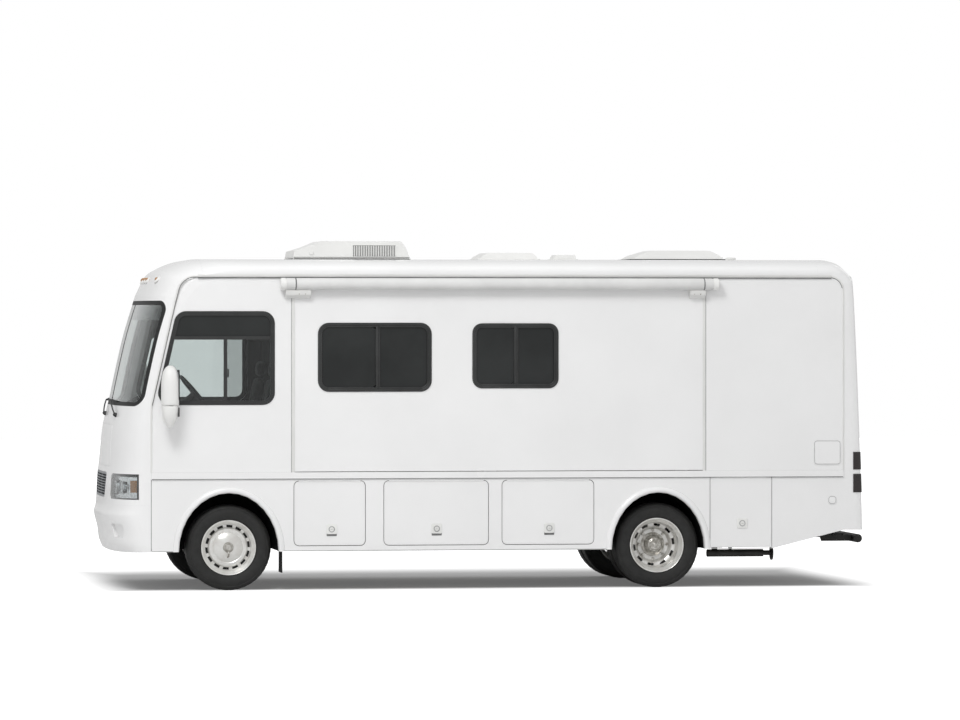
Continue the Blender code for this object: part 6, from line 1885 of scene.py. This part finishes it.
def make_rear_wheel(side_name, side):
    """Two rims back to back: a deep dish with slots, a ring of nuts and a stepped hub."""
    node = "rear_wheel_" + side_name
    body = "rear_wheels_" + side_name
    outer = middle("rear_outer_tyre_" + side_name)
    inner = middle("rear_inner_tyre_" + side_name)
    centre = (outer + inner) / 2
    flange = (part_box(node)[1].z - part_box(node)[0].z) / 2
    dish = outwards(side, REAR_DISH_EDGE, abs(outer.y - centre.y)) + outwards(side, REAR_DISH)
    items = [revolved("rim", rim_profile(flange, RIM_WIDTH, side), outer, RIM_STEPS, closed=True),
             revolved("rim", rim_profile(flange, RIM_WIDTH, -side), inner, RIM_STEPS, closed=True)]
    for way in (1, -1):
        rings = [(radius, way * y) for radius, y in dish]
        items.append(slotted_disc("disc", centre, rings, 3, REAR_SLOT_COUNT, 0.5, 5 * MM))
    wheel = joined(node + "_rims", items)
    place_piece(wheel, SILVER, body, 30)
    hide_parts(node)
    place_piece(revolved(node + "_hub", outwards(side, REAR_HUB), centre, 40), HUB_STEEL, body, 30)
    nuts = hex_nuts(node + "_nuts", centre, 0.136, 8, 15 * MM, side * 16 * MM, side * 44 * MM)
    place_piece(nuts, HUB_STEEL, body, 25)
    bolts = hex_nuts(node + "_bolts", centre, 0.056, 8, 7 * MM, side * 118 * MM, side * 126 * MM)
    place_piece(bolts, HUB_STEEL, body, 25)


def make_wheels():
    """All tyres and wheels."""
    for side_name, side in SIDES:
        make_tyre("front_tyre_" + side_name, "front_wheel_" + side_name)
        make_tyre("rear_outer_tyre_" + side_name, "rear_wheels_" + side_name)
        make_tyre("rear_inner_tyre_" + side_name, "rear_wheels_" + side_name)
        make_front_wheel(side_name, side)
        make_rear_wheel(side_name, side)


# Finishes of the CAD nodes that show as they are

# columns: finish, width of the softened edges, starts of the nodes' names
NODE_FINISHES = (
    (GELCOAT, 0,
     "side_wall skirt bin_door service_door entry_door slide_room front_cap front_bumper rear_cap mirror"),
    (COVER_ABS, 7 * MM, "roof_air_unit"),
    (COVER_ABS, 2 * MM, "roof_skylight roof_vent"),
    (GELCOAT, 0, "roof"),
    (CHASSIS, 0, "chassis_frame front_axle rear_axle knuckle"),
    (RUBBER, 0, "mud_flap"),
    (IRON, 6 * MM, "engine_block"),
    (TANK_PLASTIC, 6 * MM, "fuel_tank"),
    (PLYWOOD, 0, "floor"),
    (BLACK_ABS_AND_PAINTED_SHADE, 6 * MM, "dashboard"),
    (BLACK_ABS_AND_PAINTED_SHADE, 0, "steering_wheel grille"),
    (AWNING, 0, "topper"),
    (CHROME, 0, "headlamp"),
    (WINDOW_FRAME, 0, "cab_window"),
    (SCREEN_GLASS, 0, "windshield"),
    (PRIVACY_GLASS, 0, "rear_window slide_window right_window"),
    (UPHOLSTERY, 0, "driver_seat passenger_seat"),
)


def dress_nodes():
    """Gives each CAD node the first finish whose name fits; the wheels' nodes are replaced, and need none."""
    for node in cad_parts:
        for material, edge, starts in NODE_FINISHES:
            if node.startswith(tuple(starts.split())):
                dress(node, material, edge)
                break


# Studio

CAMERA_AHEAD = 4.124
CAMERA_AWAY = 50.0
CAMERA_HEIGHT = 2.569
CAMERA_YAW = 7.885
CAMERA_LENS = 194.6
CAMERA_SHIFT_X = 0.1
CAMERA_SHIFT_Y = -0.0425
FLOOR_REACH = 60.0
PAINTED_SHADOW_GLOW = 0.12


def make_camera():
    """Long lens from well away, turned a little towards the tail."""
    camera = set_in_scene("camera", bpy.data.cameras.new("camera"))
    camera.data.lens = CAMERA_LENS
    camera.data.sensor_width = 36.0
    camera.data.shift_x = CAMERA_SHIFT_X
    camera.data.shift_y = CAMERA_SHIFT_Y
    camera.data.clip_end = 4 * FLOOR_REACH
    camera.location = (NOSE_X - CAMERA_AHEAD, -CAMERA_AWAY, CAMERA_HEIGHT)
    camera.rotation_euler = (math.radians(90), 0, -math.radians(CAMERA_YAW))
    bpy.context.scene.camera = camera


def make_floor():
    """Pale floor that keeps the shadow the lamps cast, with a painted shadow where its glow is turned down
    round the body, further on the far side, and white further away.
    """
    work = bmesh.new()
    corners = [(-FLOOR_REACH, -FLOOR_REACH), (FLOOR_REACH, -FLOOR_REACH), (FLOOR_REACH, FLOOR_REACH),
               (-FLOOR_REACH, FLOOR_REACH)]
    work.faces.new([work.verts.new((x, y, 0.0)) for x, y in corners])
    floor = object_of("studio_floor", work)
    material, tree, shader = new_finish("studio_floor_paint", "#e0e0e0", 0.9, Specular_IOR_Level=0.0)
    output = tree.nodes["Material Output"]
    place = add_node(tree, "ShaderNodeTexCoord")
    parts = add_node(tree, "ShaderNodeSeparateXYZ", {"Vector": (place, "Object")})
    along = add_node(tree, "ShaderNodeMath", {0: (parts, "X")}, operation="ABSOLUTE")
    # Glow that drops round the body: a painted shadow, longer on the far side.
    edges = []
    for value, begin, full in (((parts, "Y"), -BODY_HALF + 0.40, -BODY_HALF - 0.15),
                               ((parts, "Y"), BODY_HALF + 0.50, BODY_HALF + 2.40),
                               ((along, "Value"), BODY_LENGTH / 2 - 0.35, BODY_LENGTH / 2 + 0.40)):
        span = {"Value": value, "From Min": begin, "From Max": full}
        edges.append(add_node(tree, "ShaderNodeMapRange", span, interpolation_type="SMOOTHSTEP"))
    near, far, beyond = edges
    aside = add_node(tree, "ShaderNodeMath", {0: (near, "Result"), 1: (far, "Result")}, operation="MAXIMUM")
    away = add_node(tree, "ShaderNodeMath", {0: (aside, "Value"), 1: (beyond, "Result")}, operation="MAXIMUM")
    glow = add_node(tree, "ShaderNodeMapRange",
                    {"Value": (away, "Value"), "To Min": PAINTED_SHADOW_GLOW, "To Max": 1.0})
    path = add_node(tree, "ShaderNodeLightPath")
    paint = add_node(tree, "ShaderNodeMixRGB", {"Fac": (path, "Is Camera Ray"), "Color1": linear("#e4e4e4"),
                                                "Color2": linear("#b6b6b6")})
    tree.links.new(paint.outputs["Color"], shader.inputs["Base Color"])
    shown = add_node(tree, "ShaderNodeMath", {0: (path, "Is Camera Ray"), 1: (glow, "Result")},
                     operation="MULTIPLY")
    lit = add_node(tree, "ShaderNodeEmission", {"Strength": (shown, "Value")})
    both = add_node(tree, "ShaderNodeAddShader", {0: (shader, "BSDF"), 1: (lit, "Emission")})
    tree.links.new(both.outputs["Shader"], output.inputs["Surface"])
    floor.data.materials.append(material)


def make_lights():
    """Soft boxes over and in front, with an even glow from all round."""
    world = bpy.data.worlds.new("studio")
    bpy.context.scene.world = world
    world.use_nodes = True
    tree = world.node_tree
    path = add_node(tree, "ShaderNodeLightPath")
    direct = add_node(tree, "ShaderNodeMath", {0: (path, "Is Camera Ray"), 1: (path, "Is Transmission Ray")},
                      operation="MAXIMUM")
    strength = add_node(tree, "ShaderNodeMapRange",
                        {"Value": (direct, "Value"), "To Min": 0.65, "To Max": 1.0})
    back = tree.nodes["Background"]
    back.inputs["Color"].default_value = (1, 1, 1, 1)
    tree.links.new(strength.outputs["Result"], back.inputs["Strength"])
    lamps = (
        ("key_light", (-6.5, -12.0, 13.0), 5.0, 1190.0),
        ("top_light", (0.5, -2.0, 11.0), 9.0, 70.0),
        ("rear_light", (10.0, 7.0, 7.0), 7.0, 80.0),
    )
    for name, place, size, power in lamps:
        lamp = set_in_scene(name, bpy.data.lights.new(name, "AREA"))
        lamp.data.size = size
        lamp.data.energy = power
        lamp.location = place
        aim = Vector((0, 0, 1.2)) - lamp.location
        lamp.rotation_mode = "QUATERNION"
        lamp.rotation_quaternion = aim.to_track_quat("-Z", "Y")
    bpy.context.scene.view_settings.view_transform = "Standard"


def main():
    """Builds every piece, then the studio."""
    dress_nodes()
    make_shell()
    make_windows()
    make_latches()
    make_door_frames()
    make_skirts()
    make_seams()
    make_belt()
    make_slide_seal()
    make_topper()
    make_air_unit()
    make_roof_fittings()
    for name, side in SIDES:
        make_mirror(name, side)
    make_tail_fittings()
    make_entry_door()
    make_wells()
    make_cab_lining()
    make_cushions()
    make_seat_bases()
    make_steering_wheel()
    make_dash_fittings()
    make_wheels()
    make_floor()
    make_lights()
    make_camera()


main()
